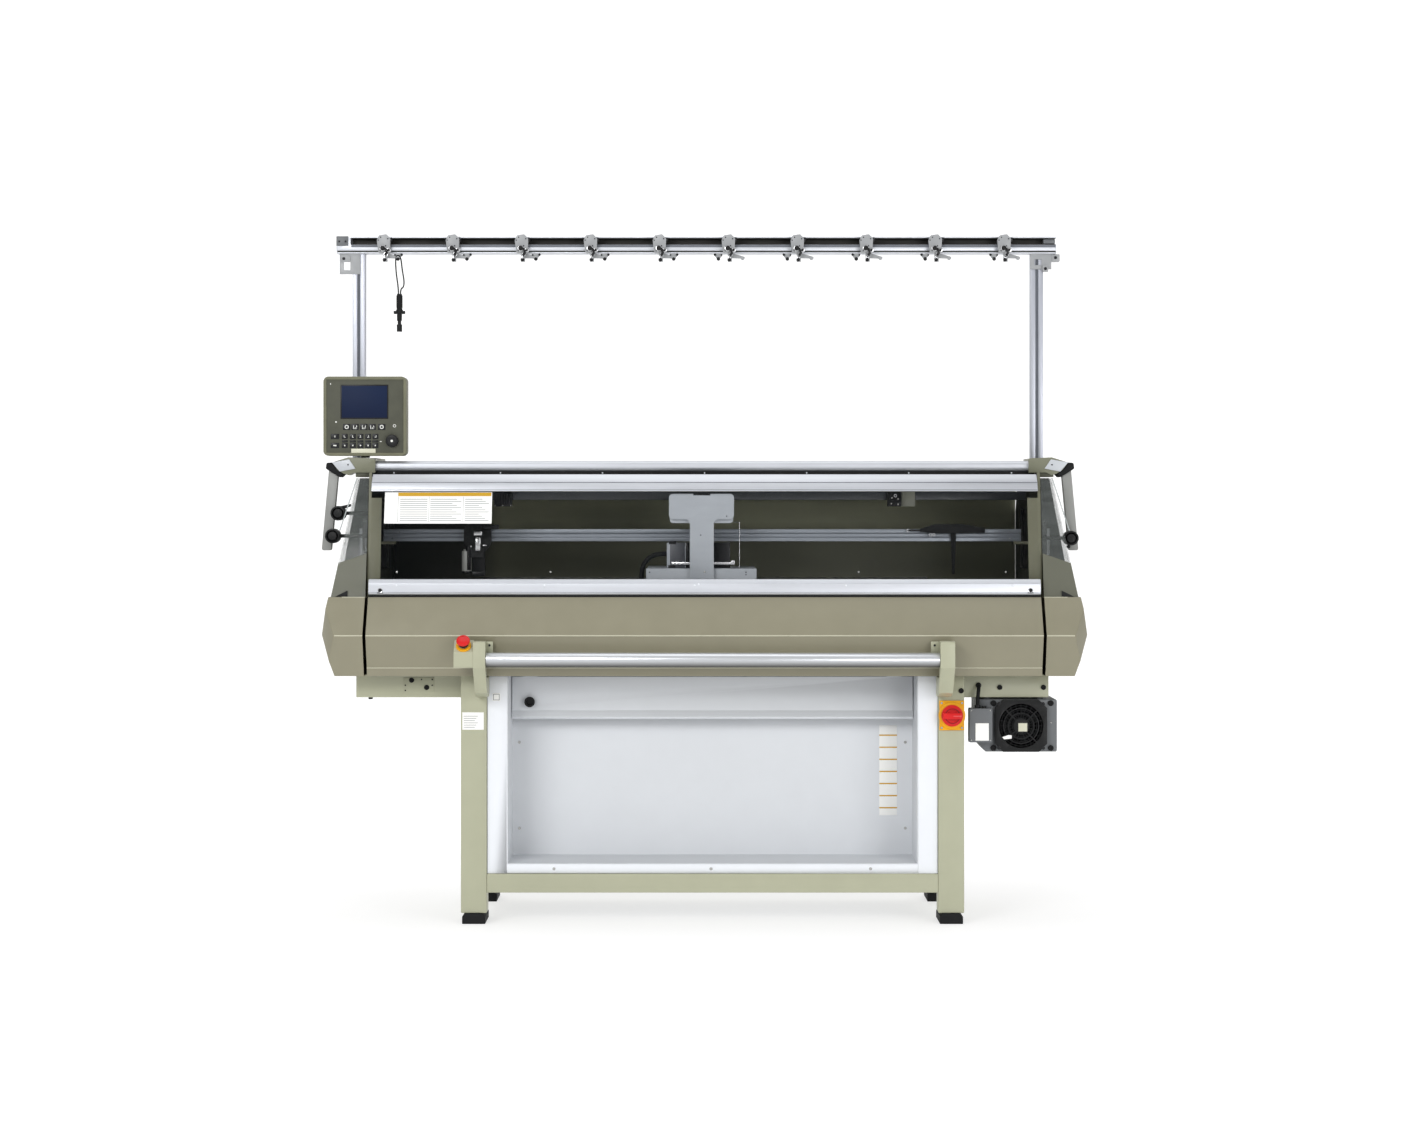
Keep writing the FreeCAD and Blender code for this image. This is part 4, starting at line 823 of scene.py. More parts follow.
def tension_unit(bright, dark, pale, x, mirrored):
    """The small parts on one tension plate, around its middle line x."""
    front, rail = 0.085, rail_low.z
    side = -1 if mirrored else 1
    disc(bright, (x - 0.002, front - 0.001, rail + 0.013), "y", 0.0085, 0.002, 24, 0.0005)
    disc(bright, (x + 0.014, front + 0.004, rail + 0.008), "y", 0.007, 0.012, 24, 0.001)
    disc(dark, (x + 0.014, front - 0.003, rail + 0.008), "y", 0.0035, 0.003, 16, 0.0005)
    outline(dark, [(x + 0.001, rail + 0.016), (x + 0.008, rail + 0.013), (x + 0.013, rail - 0.001),
                   (x + 0.007, rail - 0.011), (x + 0.002, rail - 0.006), (x + 0.006, rail + 0.001)],
            "xz", front - 0.009, front - 0.003, 0.0006)
    ring(bright, (x + 0.007, front - 0.004, rail - 0.004), "y", 0.0042, 0.0062, -0.0015, 0.0015, 24)
    block(bright, (x - 0.001, front + 0.002, rail - 0.022), (x + 0.006, front + 0.014, rail - 0.006), 0.001)
    ball(dark, (x + 0.0025, front + 0.003, rail - 0.019), 0.0055)
    block(dark, (x + 0.0165, front + 0.002, rail + 0.033), (x + 0.024, front + 0.018, rail + 0.044), 0.0015)
    block(bright, (x - 0.001, front + 0.004, rail + 0.046), (x + 0.009, front + 0.018, rail + 0.0525), 0.001)
    disc(dark, (x + 0.004, front + 0.003, rail + 0.0495), "y", 0.0022, 0.004, 12)
    middle = x + side * (0.04 if not mirrored else 0.028)
    drop = [(-0.012, -0.001), (0.012, -0.001), (0.010, -0.008), (0.002, -0.016), (-0.004, -0.016),
            (-0.011, -0.007)]
    outline(pale, [(middle + a, rail + b) for a, b in drop], "xz", front + 0.013, front + 0.017, 0.0006)
    ball(dark, (middle, front + 0.006, rail - 0.0165), 0.0052)
    disc(bright, (middle, front + 0.010, rail - 0.0165), "y", 0.0025, 0.01, 12)
    disc(dark, (middle + side * 0.010, front + 0.011, rail - 0.004), "y", 0.0036, 0.006, 16, 0.0006)
    disc(dark, (middle - side * 0.009, front + 0.011, rail - 0.005), "y", 0.0024, 0.005, 12)


bright, dark, pale = bmesh.new(), bmesh.new(), bmesh.new()
for i in range(10):
    tension_unit(bright, dark, pale, unit_first + i * unit_pitch, i > 4)
piece("yarn_guides", bright, "frame", BRIGHT)
piece("yarn_stops", dark, "frame", SATIN_BLACK)
piece("eye_plates", pale, "frame", UNIT_GREY)
fasteners("unit_screws", "frame", [(unit_first + i * unit_pitch + a, 0.085, rail_low.z + b) for i in range(10)
                                   for a, b in ((-0.008, 0.044), (0.012, 0.040), (-0.015, 0.036),
                                                (-0.009, 0.006), (0.006, 0.020))],
          FRONT, 0.0019, BLACK_OXIDE, 0.001)

# %% [markdown]
# ## Control panel
# A membrane panel on a swivelling neck: a recessed face with a dark screen, five soft keys, a block of
# fifteen keys and a dial. A drawn texture could hold all of this, but every field is a thin block, measured
# from the panel's lower left corner, so that its edge catches light. The keys carry plain marks only.

# %% Panel face, screen and keys
panel_low, panel_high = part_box("panel_housing")
face_y = panel_low.y + 0.002
left, base = panel_low.x, panel_low.z


def on_face(shape, x, z, wide, high, proud, edge=0.0006, from_y=None):
    """A raised field on the panel's face, placed from the panel's lower left corner."""
    back = face_y if from_y is None else from_y
    block(shape, (left + x - wide / 2, back - proud, base + z - high / 2),
          (left + x + wide / 2, back + 0.0004, base + z + high / 2), edge)


rim = bmesh.new()
on_face(rim, 0.1135, 0.1085, 0.2095, 0.1995, 0.0004, 0.0002)
piece("panel_face", rim, "panel", PANEL_FACE)
bezel = bmesh.new()
on_face(bezel, 0.1122, 0.1478, 0.131, 0.094, 0.0011, 0.0004)
piece("screen_bezel", bezel, "panel", SATIN_BLACK)
glass = bmesh.new()
on_face(glass, 0.1122, 0.1478, 0.124, 0.087, 0.0017, 0.0002)
piece("screen", glass, "panel", SCREEN)

soft_x = [0.0638, 0.0865, 0.1106, 0.1333, 0.1596]
pad_x = [0.0585, 0.0805, 0.1013, 0.1225, 0.1423]
pad_rows = [(0.0527, 0.0145), (0.0397, 0.0058), (0.0282, 0.0145)]
keys, marks = bmesh.new(), bmesh.new()
for x in soft_x:
    on_face(keys, x, 0.0789, 0.0205, 0.0165, 0.0012)
for x in pad_x:
    for z, high in pad_rows:
        on_face(keys, x, z, 0.0165, high, 0.0011)
for z in (0.0527, 0.0282):
    on_face(keys, 0.0315, z, 0.0235, 0.0145, 0.0011)
piece("keys", keys, "panel", KEY)

key_top = face_y - 0.0011


def ring_mark(x, z, outer, inner):
    """A pale ring on a key."""
    ring(marks, (left + x, key_top - 0.0002, base + z), "y", inner, outer, -0.0002, 0.0003, 20)


def bar_mark(x, z, wide, high):
    """A pale stroke on a key."""
    on_face(marks, x, z, wide, high, 0.0004, 0.0, key_top)


for x in (soft_x[0], soft_x[4]):
    ring_mark(x, 0.0789, 0.0055, 0.0032)
for x in soft_x[1:4]:
    bar_mark(x - 0.004, 0.0789, 0.0016, 0.0085)
    bar_mark(x + 0.0005, 0.0765, 0.0016, 0.0035)
    bar_mark(x + 0.0045, 0.0800, 0.0016, 0.0060)
    bar_mark(x, 0.0742, 0.0105, 0.0010)
for i, x in enumerate(pad_x):
    bar_mark(x, 0.0527 - 0.0018, 0.0050, 0.0012)
    bar_mark(x - 0.002 + 0.001 * i, 0.0527 + 0.0012, 0.0014, 0.0042)
    bar_mark(x, 0.0282, 0.0032, 0.0036)
bar_mark(0.0315, 0.0527, 0.0018, 0.0052)
bar_mark(0.0315, 0.0282, 0.0085, 0.0034)
on_face(marks, 0.0196, 0.1968, 0.0022, 0.0042, 0.0007, 0.0003)
on_face(marks, 0.0345, 0.0925, 0.0045, 0.0036, 0.0007, 0.0003)
on_face(marks, 0.1570, 0.0392, 0.0050, 0.0024, 0.0006, 0.0002)
ring(marks, (left + 0.1945, face_y - 0.0003, base + 0.0820), "y", 0.0028, 0.0042, -0.0003, 0.0003, 20)
piece("key_marks", marks, "panel", MARK)

# %% [markdown]
# ## Dial, plate and back of the panel
# The dial is the only control that turns without end, so its grip and its dot ride on the dial's own body
# and the rest rides on the panel. A knurl could be a bump in the finish, but it shows in the outline, so it
# is made as thin rods around the edge.

# %% Dial, plate, vents and neck
dial_low, dial_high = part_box("panel_dial")
dial_mid = (dial_low + dial_high) / 2
knurl = bmesh.new()
for i in range(36):
    a = i * math.tau / 36
    disc(knurl, (dial_mid.x + 0.0166 * math.cos(a), (dial_low.y + dial_high.y) / 2 - 0.0006,
                 dial_mid.z + 0.0166 * math.sin(a)), "y", 0.0008, (dial_high.y - dial_low.y) * 0.45, 6)
lathe(knurl, (dial_mid.x, dial_low.y, dial_mid.z), "y", [
    (0.0005, -0.0002), (0.0108, -0.0002), (0.0118, 0.001), (0.0105, 0.0012), (0.0005, 0.0006),
    (0.0005, -0.0002)])
piece("dial_grip", knurl, "dial", SATIN_BLACK)
dial_dot = bmesh.new()
disc(dial_dot, (dial_mid.x, dial_low.y - 0.0001, dial_mid.z), "y", 0.0034, 0.0006, 20)
piece("dial_mark", dial_dot, "dial", MARK)

plate = bmesh.new()
on_face(plate, 0.1095, 0.0138, 0.0665, 0.0115, 0.0022, 0.0008)
piece("panel_plate", plate, "panel", PALE_PLATE)
fasteners("panel_back_screws", "panel", [(left + x, panel_high.y, base + z) for x in (0.03, 0.197)
                                         for z in (0.036, 0.18)], (0, 1, 0), 0.004, BLACK_OXIDE)
vents = bmesh.new()
for i in range(9):
    block(vents, (left + 0.055, panel_high.y - 0.0005, base + 0.070 + i * 0.009),
          (left + 0.172, panel_high.y + 0.0006, base + 0.074 + i * 0.009), 0.0003)
piece("panel_vents", vents, "panel", SATIN_BLACK)

neck_x, neck_y = (panel_low.x + panel_high.x) / 2 - 0.0015, (panel_low.y + panel_high.y) / 2
ribs = bmesh.new()
for i in range(5):
    ring(ribs, (neck_x, neck_y, base - 0.0005 - 0.0009 * i), "z", 0.0116, 0.0126, -0.0003, 0.0002, 32)
piece("neck_ribs", ribs, "panel", RUBBER)

# %% [markdown]
# ## Hinged cover
# Two extrusions hold the clear window. A lock sits at each end of the lower one, and a plain ruled card is
# fixed to the glass at its upper left. What lies on the glass is placed by a distance up the slope and one
# off it, so one function turns the sloping plane into a flat one.

# %% Cover locks, screws and card
window_low, window_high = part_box("cover_window")
slope = Vector((0.0, window_high.y - 0.0035 - window_low.y, window_high.z - window_low.z)).normalized()
outward = Vector((0.0, -slope.z, slope.y))
glass_foot = Vector((0.0, window_low.y, window_low.z))


def on_glass(shape, start, end, low, high, near, far):
    """A thin field on the window, from x start to end and between two distances up its slope."""
    around = ((low, near), (high, near), (high, far), (low, far))
    spots = [glass_foot + slope * a + outward * b for a, b in around]
    outline(shape, [(spot.y, spot.z) for spot in spots], "yz", start, end)


card, band, rules = bmesh.new(), bmesh.new(), bmesh.new()
on_glass(card, -0.868, -0.577, 0.156, 0.245, 0.0002, 0.0010)
on_glass(band, -0.832, -0.579, 0.2335, 0.2438, 0.0010, 0.0013)
for i in range(11):
    line = 0.164 + 0.006 * i
    for start, end in ((-0.826, -0.752), (-0.744, -0.660 - 0.012 * (i % 3)),
                       (-0.650, -0.585 - 0.009 * (i % 4))):
        on_glass(rules, start, end, line, line + 0.0015, 0.0010, 0.0012)
for x in (-0.832, -0.748, -0.655):
    on_glass(rules, x, x + 0.0008, 0.160, 0.232, 0.0010, 0.0012)
piece("window_card", card, "cover", CARD)
piece("window_card_band", band, "cover", AMBER)
piece("window_card_rules", rules, "cover", RULE)

lower_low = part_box("cover_bottom_rail")[0]
locks, barrels = bmesh.new(), bmesh.new()
for x in (-0.872, 0.876):
    lathe(locks, (x, lower_low.y - 0.0004, lower_low.z + 0.0125), "y", [
        (0.0052, 0.0004), (0.0066, 0.0004), (0.0066, -0.0008), (0.0052, -0.0004), (0.0052, 0.0004)], 28)
    disc(barrels, (x, lower_low.y - 0.0002, lower_low.z + 0.0125), "y", 0.005, 0.0012, 24)
    block(barrels, (x - 0.008, lower_low.y - 0.0008, lower_low.z + 0.0045),
          (x + 0.008, lower_low.y + 0.0004, lower_low.z + 0.0062), 0.0003)
piece("cover_locks", locks, "cover", BRIGHT)
piece("lock_barrels", barrels, "cover", SATIN_BLACK)
fasteners("cover_screws", "cover", [(x, lower_low.y, lower_low.z + z) for x, z in (
    (-0.0266, 0.026), (-0.016, 0.029), (-0.828, 0.0255), (-0.43, 0.0255), (0.38, 0.0255), (0.828, 0.0255))],
          FRONT, 0.0026, WHITE, 0.0012)
fasteners("glass_screws", "cover", [glass_foot + slope * 0.02 + AXES["x"] * x
                                    for x in (-0.829, -0.415, 0.0, 0.415, 0.811)],
          outward, 0.003, STEEL, 0.0015)

seal_half = window_high.x + 0.0005
seal = bmesh.new()
block(seal, (-seal_half, lower_low.y + 0.0045, fascia_high.z),
      (seal_half, lower_low.y + 0.0240, lower_low.z - 0.0003), 0.0008)
piece("cover_seal", seal, "frame", RUBBER)
upper_rail_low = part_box("cover_top_rail")[0]
rail_long = window_high.x - window_low.x
grooves = bmesh.new()
for y, z in ((0.0098, 0.0240), (0.0016, 0.0035)):
    disc(grooves, (0, upper_rail_low.y + y, upper_rail_low.z + z), "x", 0.0008, rail_long, 8)
disc(grooves, (0, lower_low.y - 0.0001, lower_low.z + 0.0070), "x", 0.0005, rail_long, 8)
piece("rail_grooves", grooves, "cover", SLOT)
gasket = bmesh.new()
tube_low, tube_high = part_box("head_tube")
block(gasket, (-seal_half, tube_low.y + 0.002, tube_low.z - 0.0085),
      (seal_half, tube_high.y - 0.004, tube_low.z - 0.0002), 0.001)
piece("head_seal", gasket, "frame", RUBBER)
fasteners("seal_screws", "frame", [(x, tube_low.y + 0.002, tube_low.z - 0.0045)
                                   for x in (-0.852, -0.56, -0.28, 0.0, 0.28, 0.56, 0.842)],
          FRONT, 0.002, WHITE, 0.001)

# %% [markdown]
# ## Carriage
# The carriage drives the cams over both beds. Its bridge is one pale casting, with two dark coil boxes, a
# wired ledge and the supply cable on its front half. The boxes are plain bevelled blocks, measured from the
# bridge's low corner, and ride on the carriage, so that they slide with it.

# %% Coil boxes, ledge and feeler
base_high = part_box("carriage_base")[1]
bridge_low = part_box("carriage_bridge")[0]
bridge = corner("carriage_bridge")
coil_high = base_high.z - bridge_low.z
coils, covers, trims = bmesh.new(), bmesh.new(), bmesh.new()
block(coils, bridge(0.0015, 0.0744, 0.0284), bridge(0.0435, 0.1256, coil_high + 0.0005), 0.0012)
block(covers, bridge(0.0445, 0.0748, 0.0284), bridge(0.0555, 0.1254, coil_high + 0.0003), 0.0008)
block(covers, bridge(0.1216, 0.0744, 0.0284), bridge(0.1674, 0.1256, coil_high + 0.0005), 0.0012)
block(covers, bridge(-0.0015, 0.0738, coil_high - 0.004), bridge(0.0190, 0.1050, coil_high + 0.0050), 0.001)
block(covers, bridge(-0.0030, 0.0738, 0.0286), bridge(0.0170, 0.0800, 0.0360), 0.001)
block(trims, bridge(0.0070, 0.0695, 0.0375), bridge(0.1750, 0.0750, 0.0445), 0.0006)
block(trims, bridge(0.1710, 0.0685, 0.0365), bridge(0.1790, 0.0790, 0.0490), 0.0006)
disc(trims, bridge(0.1930, 0.1050, 0.0910), "z", 0.0009, 0.1260, 8)
disc(trims, bridge(0.1835, 0.1050, 0.1540), "x", 0.0009, 0.0190, 8)
piece("coil_box", coils, "carriage", DARK_GREY)
piece("coil_covers", covers, "carriage", SATIN_BLACK)
piece("carriage_trims", trims, "carriage", BRIGHT)
# A black strip that paints the shade in the bridge's recess.
blocks("bridge_recess_shade", "carriage", SATIN_BLACK,
       (bridge(0.066, -0.0003, 0.2275), bridge(0.113, 0.05, 0.2323), 0.0006))
carriage = corner("carriage_base")
fasteners("carriage_screws", "carriage", [
    carriage(0.297, 0, 0.1493), carriage(0.297, 0, 0.1428), carriage(0.034, 0, 0.1493),
    bridge(0.0864, 0, 0.1198), bridge(0.157, 0, 0.171)], FRONT, 0.0018, BLACK_OXIDE, 0.0008)

# %% [markdown]
# ## Gripper, feeder stop and carrier
# The gripper hangs at the left end of the rail and the feeder stop at its right. Both are small stacked
# blocks with a turned part or two, in bright steel and black, so blocks and discs are gathered by finish.

# %% Rail units and carrier trims
gripper, upper = corner("rail_units"), corner("upper_rail")
silver, black = bmesh.new(), bmesh.new()
block(silver, gripper(0.0290, -0.001, 0.1060), gripper(0.0510, 0.012, 0.1180), 0.001)
block(silver, gripper(0.0330, -0.003, 0.0620), gripper(0.0470, 0.010, 0.1020), 0.002)
drum = bmesh.new()
disc(drum, gripper(0.0080, 0.0140, 0.0320), "z", 0.0135, 0.0620, 32, 0.0015)
disc(drum, gripper(0.0080, 0.0140, 0.0645), "z", 0.0090, 0.0060, 24, 0.0010)
disc(black, gripper(0.0080, 0.0140, 0.0040), "z", 0.0142, 0.0060, 32, 0.0010)
piece("gripper_drum", drum, "frame", ARM_GREY)
block(black, gripper(0.0565, 0.003, 0.1240), gripper(0.0980, 0.014, 0.1355), 0.002)
block(black, gripper(0.0240, 0.002, -0.0065), gripper(0.0600, 0.020, 0.0050), 0.001)
disc(silver, gripper(0.0215, 0.001, 0.0755), "y", 0.0025, 0.004, 12)
block(silver, gripper(0.0530, 0.002, 0.0765), gripper(0.0640, 0.009, 0.0800), 0.0005)
piece("gripper_trims", silver, "frame", BRIGHT)
block(black, upper(0.313, -0.018, -0.018), upper(0.364, 0, 0.022), 0.0015)
for i in range(3):
    block(black, upper(0.321 + 0.014 * i, -0.021, -0.012), upper(0.329 + 0.014 * i, -0.017, 0.017), 0.001)
piece("gripper_black_trims", black, "frame", SATIN_BLACK)
feeder = corner("feeder_rail")
fasteners("rail_device_screws", "frame",
          [upper(x, -0.018, -0.0155) for x in (0.316, 0.338, 0.360)]
          + [upper(x, -0.024, z) for x, z in (
              (1.429, -0.010), (1.448, -0.012), (1.448, 0.003), (1.431, 0.006))]
          + [feeder(x, 0.0014, z) for x, z in (
              (0.045, 0.0265), (0.025, 0.0075), (1.744, 0.0265), (1.743, 0.0075))],
          FRONT, 0.0024, STEEL, 0.0015)
blocks("stop_face", "frame", PALE_OLIVE,
       (upper(1.4578, -0.0065, -0.0182), upper(1.4972, -0.0045, 0.0232), 0.0006))
stop_ring = bmesh.new()
ring(stop_ring, upper(1.4405, -0.0245, 0.012), "y", 0.0026, 0.0046, 0.0005, -0.0015, 20)
piece("stop_eye", stop_ring, "frame", BRIGHT)

carrier = corner("yarn_carrier")
tip, eyes = bmesh.new(), bmesh.new()
block(tip, carrier(-0.033, 0.004, 0.1195), carrier(0.004, 0.009, 0.124), 0.001)
ring(eyes, carrier(-0.0345, 0.0065, 0.1218), "y", 0.0022, 0.0044, 0.002, -0.002, 20)
for x in (0.028, 0.037):
    ring(eyes, carrier(x, 0.002, 0.1095), "y", 0.0026, 0.0042, 0.002, -0.002, 20)
piece("carrier_tip", tip, "carrier", SATIN_BLACK)
piece("carrier_eyes", eyes, "carrier", BRIGHT)

# %% [markdown]
# ## Ends of the machine
# Behind each bent shield stands a small drive unit, and a dark seal lies along the end frame. Both ends are
# alike, so one function makes a side, called with -1 for the left and 1 for the right. A mirror modifier
# would do it too, but it would also mirror the trims that differ.

# %% Drives and seals


def each_side(make):
    """Makes the left one and the right one."""
    for side in (-1, 1):
        make(side)


def span(side, near, far):
    """A stretch of x on one side of the machine, given as two distances from its middle."""
    return (side * near, side * far) if side > 0 else (side * far, side * near)


shield_low, shield_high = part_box("side_shields")
frame_face = fascia_high.x + 0.0085
drives, strips, under_bracket_shade, seals = bmesh.new(), bmesh.new(), bmesh.new(), bmesh.new()


def drive(side):
    """One side's drive unit with its pale strips, a dark plate as painted shade under the end bracket,
    and the shield's seal.
    Each block has two distances from the end frame, then two places from the shield's low front corner."""
    for shape, near, far, low, high, edge in (
            (drives, 0.0003, 0.0385, (0.185, 0.107), (0.188, 0.185), 0.001),
            (drives, 0.0045, 0.0305, (0.179, 0.162), (0.185, 0.207), 0.002),
            (drives, 0.0, 0.0265, (0.295, 0.055), (0.495, 0.247), 0.004),
            (strips, 0.0005, 0.0050, (0.177, 0.105), (0.1845, 0.187), 0.0008),
            (strips, 0.0305, 0.0385, (0.181, 0.109), (0.1845, 0.183), 0.0008),
            (under_bracket_shade, 0.0005, 0.0425, (0.127, 0.324), (0.215, 0.3358), 0.001),
            (seals, 0.0, 0.0055, (0.095, 0.197), (0.107, 0.297), 0.001)):
        a, b = span(side, frame_face + near, frame_face + far)
        block(shape, (a, shield_low.y + low[0], shield_low.z + low[1]),
              (b, shield_low.y + high[0], shield_low.z + high[1]), edge)


each_side(drive)
piece("drive_units", drives, "frame", SATIN_BLACK)
piece("drive_strips", strips, "frame", LIGHT)
# A dark olive plate under each end bracket paints the shade below the bracket.
piece("under_bracket_shade_plates", under_bracket_shade, "frame", OLIVE)
piece("shield_seals", seals, "frame", RUBBER)

# %% [markdown]
# ## Shields
# Each shield is one bent sheet that is clear in front and painted behind. It could be two sheets that meet,
# but then light would catch the joint, so the frame's sheet is cut by two planes with bisect and its faces
# take the clear or the painted finish by the side they lie on. The light that the bent corner catches is
# painted as a pale line, which is a thin rod along the bend.

# %% Shields
clear_back, clear_foot = shield_low.y + 0.145, shield_low.z + 0.118


def shields():
    """One bent sheet on each side: clear in front and above a slanted line, painted below it and behind."""
    shape = bmesh.new()
    shape.from_mesh(frame["nodes"]["side_shields"].data)
    bmesh.ops.remove_doubles(shape, verts=shape.verts, dist=2e-6)
    bmesh.ops.dissolve_limit(shape, angle_limit=math.radians(1.0), verts=shape.verts, edges=shape.edges)
    for side in (-1, 1):
        line = Vector((side * 0.343, 0, 1)).normalized()
        through = Vector((side * 0.91, 0, clear_foot))
        beside = [f for f in shape.faces if f.calc_center_median().x * side > 0]
        parts = list({e for f in beside for e in f.edges} | {v for f in beside for v in f.verts}) + beside
        bmesh.ops.bisect_plane(shape, geom=parts, dist=1e-6, plane_co=through, plane_no=line)
        beside = [f for f in shape.faces if f.calc_center_median().x * side > 0]
        parts = list({e for f in beside for e in f.edges} | {v for f in beside for v in f.verts}) + beside
        bmesh.ops.bisect_plane(shape, geom=parts, dist=1e-6, plane_co=(0, clear_back, 0), plane_no=(0, 1, 0))
        for face in shape.faces:
            middle = face.calc_center_median()
            if middle.x * side > 0 and ((middle - through).dot(line) < 0 or middle.y > clear_back):
                face.material_index = 1
    mesh = bpy.data.meshes.new("shield_sheets")
    shape.to_mesh(mesh)
    shape.free()
    mesh.materials.append(SHIELD)
    mesh.materials.append(SIDE_PANEL)
    made = bpy.data.objects.new("shield_sheets", mesh)
    scene.collection.objects.link(made)
    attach(made, "frame")
    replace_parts(made, "side_shields")


shields()

corners = bmesh.new()


def shield_bend_highlight(side):
    """The bent corner of the sheet: a pale rod that paints the highlight along the bend."""
    bend_foot = Vector((side * (shield_high.x - 0.0008), shield_low.y + 0.0008, shield_low.z + 0.107))
    upper = Vector((side * 0.9462, -0.1648, shield_high.z - 0.0005))
    lower = bend_foot.lerp(upper, 0.107 / 0.3205)
    disc(corners, (lower + upper) / 2, upper - lower, 0.0016, (upper - lower).length, 12)


each_side(shield_bend_highlight)
piece("shield_edges", corners, "frame", SHIELD_BEND_HIGHLIGHT)

# %% [markdown]
# ## Handles
# The black side handles have a turned lip at their front, which is spun from its outline. A small lever and
# a stub stand beside them. Dark triangles paint the shade in the notches where the side panel meets the cap.

# %% Handle lips, lever and notches
lips = bmesh.new()
handle_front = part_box("side_handles")[0].y
for x, z in ((1.000, 1.040), (-1.015, 1.046), (-1.000, 1.108)):
    lathe(lips, (x, handle_front + 0.0006, z), "y", [
        (0.0108, 0.0004), (0.0118, -0.0006), (0.0158, -0.0006), (0.0170, 0.0006), (0.0108, 0.0006),
        (0.0108, 0.0004)], 32)
piece("handle_lips", lips, "frame", SATIN_BLACK)
levers = bmesh.new()
outline(levers, [(-1.0040, 1.1255), (-0.9910, 1.1180), (-0.9670, 1.1265), (-0.9670, 1.1335)],
        "xz", -0.136, -0.128, 0.0015)
disc(levers, (0.9945, -0.134, 1.0165), "y", 0.0046, 0.020, 20, 0.001)
piece("handle_lever", levers, "frame", SATIN_BLACK)
arms_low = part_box("guard_arms")[0].y
fasteners("face_plate_screws", "frame", [(0.9505, arms_low, 1.2405), (-0.9755, arms_low, 1.2405)],
          FRONT, 0.0022, BLACK_OXIDE, 0.001)

notch = bmesh.new()
cap_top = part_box("end_caps")[1].z


def notch_shadows(side):
    """A dark triangle at the foot of one side panel, as painted shade in the notch."""
    spots = [(side * x, cap_top + z) for x, z in ((0.962, 0.001), (0.995, 0.001), (0.962, 0.017))]
    outline(notch, spots if side > 0 else spots[::-1], "xz", -0.2468, -0.2448)


each_side(notch_shadows)
piece("panel_notches", notch, "frame", SATIN_BLACK)

# %% [markdown]
# ## Operator's controls
# The stop button is a red mushroom on a yellow collar. The frame's button is a plain one, so the mushroom
# is spun from half of its outline, which gives it a true round edge, and stands in its place. Spinning is
# the natural way to make anything that a lathe would.

# %% Stop button
box_low, box_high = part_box("bar_brackets")
stop_axis = Vector((0, -1, 1)).normalized()
stop_foot = Vector((box_low.x + 0.0255, box_low.y + 0.0150, box_high.z - 0.0150))
mushroom = bmesh.new()
lathe(mushroom, stop_foot, stop_axis, [
    (0.0, -0.016), (0.006, -0.016), (0.006, 0.008), (0.0125, 0.008), (0.0125, 0.018), (0.0165, 0.018),
    (0.018, 0.0195), (0.018, 0.0232), (0.0166, 0.0258), (0.0125, 0.0273), (0.006, 0.028), (0.0, 0.028)], 48)
button = piece("stop_mushroom", mushroom, "button", RED, smooth=40)
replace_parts(button, "stop_button")
stem = bmesh.new()
ring(stem, stop_foot, stop_axis, 0.0120, 0.0130, 0.0082, 0.0178)
piece("stop_neck", stem, "button", SATIN_BLACK)
tabs = bmesh.new()
tab_face = box_low.y + 0.043
for a, b in ((box_high.x - 0.0610, box_high.x - 0.0385), (box_low.x + 0.0835, box_low.x + 0.1010)):
    block(tabs, (a, tab_face, box_high.z - 0.034), (b, tab_face + 0.005, box_high.z - 0.004), 0.001)
piece("bar_tabs", tabs, "frame", KHAKI)
fasteners("tab_screws", "frame", [(x, tab_face, box_high.z - 0.014)
                                  for x in (box_high.x - 0.051, box_low.x + 0.092)],
          FRONT, 0.0032, BLACK_OXIDE, 0.002)
collar = bmesh.new()
lathe(collar, stop_foot, stop_axis, [(0.0135, 0.0002), (0.0205, 0.0002), (0.0205, 0.0035), (0.0190, 0.0050),
                                     (0.0135, 0.0050), (0.0135, 0.0002)], 48)
piece("stop_collar", collar, "frame", YELLOW)

# %% [markdown]
# ## Main switch
# The knob's shape is the frame's own. A dark red ring paints the shade in its groove and a pale red bar the
# highlight on its pointer, both a fraction of a millimetre proud, since a colour painted on the mesh would
# need its own faces.

# %% Main switch
plate_low, plate_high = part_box("switch_plate")
knob_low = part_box("switch_knob")[0]
switch_mid = (plate_low + plate_high) / 2
rings = bmesh.new()
ring(rings, (switch_mid.x, knob_low.y + 0.0056, switch_mid.z), "y", 0.0185, 0.0205, -0.0004, 0.0006, 48)
piece("switch_groove_shade", rings, "switch", GROOVE_SHADE_RED)
blocks("switch_pointer_highlight", "switch", POINTER_HIGHLIGHT_RED,
       ((switch_mid.x + 0.002, knob_low.y - 0.0003, switch_mid.z - 0.0010),
        (switch_mid.x + 0.024, knob_low.y + 0.0003, switch_mid.z + 0.0010), 0.0002))
fasteners("switch_screws", "frame", [(switch_mid.x + a, plate_high.y - 0.005, switch_mid.z + b)
                                     for a in (-0.0275, 0.0275) for b in (-0.0335, 0.0335)],
          FRONT, 0.0035, STEEL)

# %% [markdown]
# ## Fan and junction box
# The fan's guard has fine rings and ribs between the coarse ones that carry it. A round wire could be a
# curve with a bevel, but a small square section spun round has far fewer faces and looks the same. The
# box hangs on rubber bushes.

